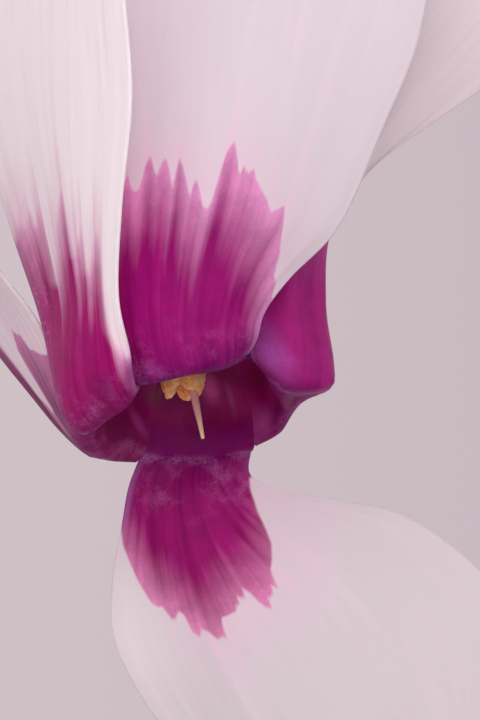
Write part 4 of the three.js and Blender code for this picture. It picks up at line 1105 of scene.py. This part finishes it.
# compost: peat with bark crumbs and a little white perlite
compostLook = dict(
    profile=[[8.3, 0.05], [8.3, 37.6], [87, 51.6], [100.8, 54.6], [101.8, 50], [103.4, 42], [103.8, 30],
             [103.8, 15], [103.8, 0.05]],
    crumbsFrom=27.0, crumbsTo=52.5, surface=[[27, 42, 50, 54], [103.9, 103.5, 102.0, 101.0]],
    crumbs=520, crumbSize=(0.9, 2.3), perlite=70, perliteSize=(0.8, 1.7),
)


def compost():
    turn = np.linspace(0, 2 * pi, 145)
    profile = compostLook['profile']
    rows = []
    for t in np.concatenate([np.linspace(0, 3, 10), np.linspace(3.1, 8, 56)]):
        k = min(int(t), len(profile) - 2)
        z, r = np.array(profile[k]) + (np.array(profile[k + 1]) - profile[k]) * (t - k)
        x, y = r * np.cos(turn), r * np.sin(turn)
        bump = (t > 3.4) * (0.7 * np.sin(x * 0.23) * np.cos(y * 0.19 + 1)
                            + 0.35 * np.sin(x * 0.9 + 2 * np.sin(y * 0.7)))
        rows.append(together(x, y, z + bump))
    peat = earthFinish('peatCompost', [(0.3, '#1f1712'), (0.8, '#5a4334'), (0.55, '#35271f')], 420, 0.95, 0.8)
    perlite = earthFinish('perliteGrit', [(0.3, '#cfcac0'), (0.7, '#f2efe8')], 900, 0.9, 0.2)
    bark = earthFinish('barkCrumb', [(0.3, '#2c1e15'), (0.75, '#7a553a'), (0.5, '#4a3325')], 500, 0.9, 0.4)
    draw = np.random.default_rng(7)
    made = [closed(sheetFrom('compostBody', np.array(rows), peat))]
    for name, fineness, count, size, material in (
            ('bark', 1, compostLook['crumbs'], compostLook['crumbSize'], bark),
            ('perlite', 2, compostLook['perlite'], compostLook['perliteSize'], perlite)):
        model = added(bpy.ops.mesh.primitive_ico_sphere_add, subdivisions=fineness, radius=1)
        model.data.materials.append(material)
        roughened(model, name, [(0.8, 0.9)], scale=1)
        angle = draw.uniform(0, 2 * pi, count)
        r = np.sqrt(draw.uniform(compostLook['crumbsFrom'] ** 2, compostLook['crumbsTo'] ** 2, count))
        middles = ring(r, angle, np.interp(r, *compostLook['surface']) + draw.uniform(-0.4, 0.5, count))
        side = unit(draw.normal(size=(count, 3)))
        front = unit(np.cross(side, unit(draw.normal(size=(count, 3)))))
        s = draw.uniform(*size, (count, 1))
        made.append(copies(name, model, middles, side * s, front * s * 0.7, np.cross(side, front) * s * 0.55))
    return joined('compost', made)


settle(compost(), ['soil'])


# pot: turned clay with a rim band and three drain holes
potLook = dict(sides=128, foot=42.0, drains=3, drain=5, drainsAt=26, bevel=0.5, profile=[
    (43.2, 1.2), (55.0, 86.2), (60.9, 86.9), (61.6, 87.6), (64.6, 112.6), (64.2, 114.1), (63.3, 114.9),
    (60.2, 115.0), (59.1, 114.4), (58.7, 113.0), (52.2, 87.0), (38.4, 9.2), (36.8, 8.0)])


def pot():
    piece = added(bpy.ops.mesh.primitive_circle_add, vertices=potLook['sides'], radius=potLook['foot'] * mm,
                  fill_type='NGON')
    bpy.ops.object.mode_set(mode='EDIT')
    bpy.ops.mesh.select_all(action='SELECT')
    radius, height = potLook['foot'], 0.0
    for nextRadius, nextHeight in potLook['profile']:
        bpy.ops.mesh.extrude_region_move(TRANSFORM_OT_translate={'value': (0, 0, (nextHeight - height) * mm)})
        ratio = nextRadius / radius
        bpy.ops.transform.resize(value=(ratio, ratio, 1), center_override=(0, 0, nextHeight * mm))
        radius, height = nextRadius, nextHeight
    bpy.ops.mesh.select_all(action='SELECT')
    bpy.ops.mesh.normals_make_consistent(inside=False)
    bpy.ops.object.mode_set(mode='OBJECT')
    for k in range(potLook['drains']):
        a = radians(30 + 120 * k)
        at = (potLook['drainsAt'] * cos(a) * mm, potLook['drainsAt'] * sin(a) * mm, 4 * mm)
        drill = added(bpy.ops.mesh.primitive_cylinder_add, vertices=40, radius=potLook['drain'] * mm,
                      depth=20 * mm, location=at)
        modify(piece, 'BOOLEAN', operation='DIFFERENCE', object=drill, solver='EXACT')
        bpy.data.objects.remove(drill)
    modify(piece, 'BEVEL', width=potLook['bevel'] * mm, segments=2, limit_method='ANGLE',
           angle_limit=radians(28))
    piece.data.materials.append(clayFinish())
    only(piece)
    bpy.ops.object.shade_smooth_by_angle(angle=radians(35))
    piece.name = piece.data.name = 'clayPot'
    return piece


settle(pot(), ['pot'])
print('tuber, compost and pot made')


# floor, light and backdrop: each light has its place, power, size and beam in degrees
stageLook = dict(
    floor=60, paper=('#dcd3d7', '#dfd6da'), backdrop=('#d1c2c7', '#c8b9c0'), far='#b9aeb2', room='#f4eef0',
    roomLight=0.72, aim=(-0.02, 0, 0.22),
    lights=dict(
        keyLight=((-0.5, -1.7, 0.6), 5.3, 1.8, 120),
        cardLight=((0.05, -1.6, 0.2), 0.245, 0.4, 50),  # a low card under the camera
        fillLight=((1.2, -0.9, 0.9), 5.5, 1.2, 180),
        backLight=((0.3, 1.4, 1.2), 4.3, 1.2, 180),
    ),
)

floor = added(bpy.ops.mesh.primitive_plane_add, size=stageLook['floor'])
floor.name = 'floor'
floorFinish, tree = newMaterial('floorPaper', 0.9, 1.4)
speck = node(tree, 'TexNoise', node(tree, 'TexCoord', out='Object'), 40, 3)
tone = node(tree, 'ValToRGB', speck, stops=zip((0.3, 0.7), stageLook['paper']))
floor.data.materials.append(dressed(floorFinish, tone))

for name, (where, power, size, beam) in stageLook['lights'].items():
    light = added(bpy.ops.object.light_add, type='AREA', location=where)
    light.name = name
    light.data.energy = power
    light.data.size = size
    light.data.spread = radians(beam)
    light.rotation_euler = (Vector(stageLook['aim']) - Vector(where)).to_track_quat('-Z', 'Y').to_euler()
    light.visible_camera = False

world = bpy.data.worlds.new('studio')
bpy.context.scene.world = world
world.use_nodes = True
tree = world.node_tree
around = node(tree, 'Background', stageLook['room'], stageLook['roomLight'])
outward = node(tree, 'TexCoord', out='Generated')
across = node(tree, 'MapRange', node(tree, 'SeparateXYZ', outward, out='X'), -0.1, 0.1)
upward = node(tree, 'MapRange', node(tree, 'SeparateXYZ', outward, out='Z'), 0, 0.09, **soft)
backdrop = node(tree, 'Mix', across, *stageLook['backdrop'], **colours)
backdrop = node(tree, 'Mix', upward, stageLook['far'], backdrop, **colours)
behind = node(tree, 'Background', backdrop)
seen = node(tree, 'LightPath', out='Is Camera Ray')  # the room lights the plant and the backdrop is behind it
tree.links.new(node(tree, 'MixShader', seen, around, behind), tree.nodes['World Output'].inputs['Surface'])
bpy.context.scene.view_settings.view_transform = 'Standard'

print('stage set')
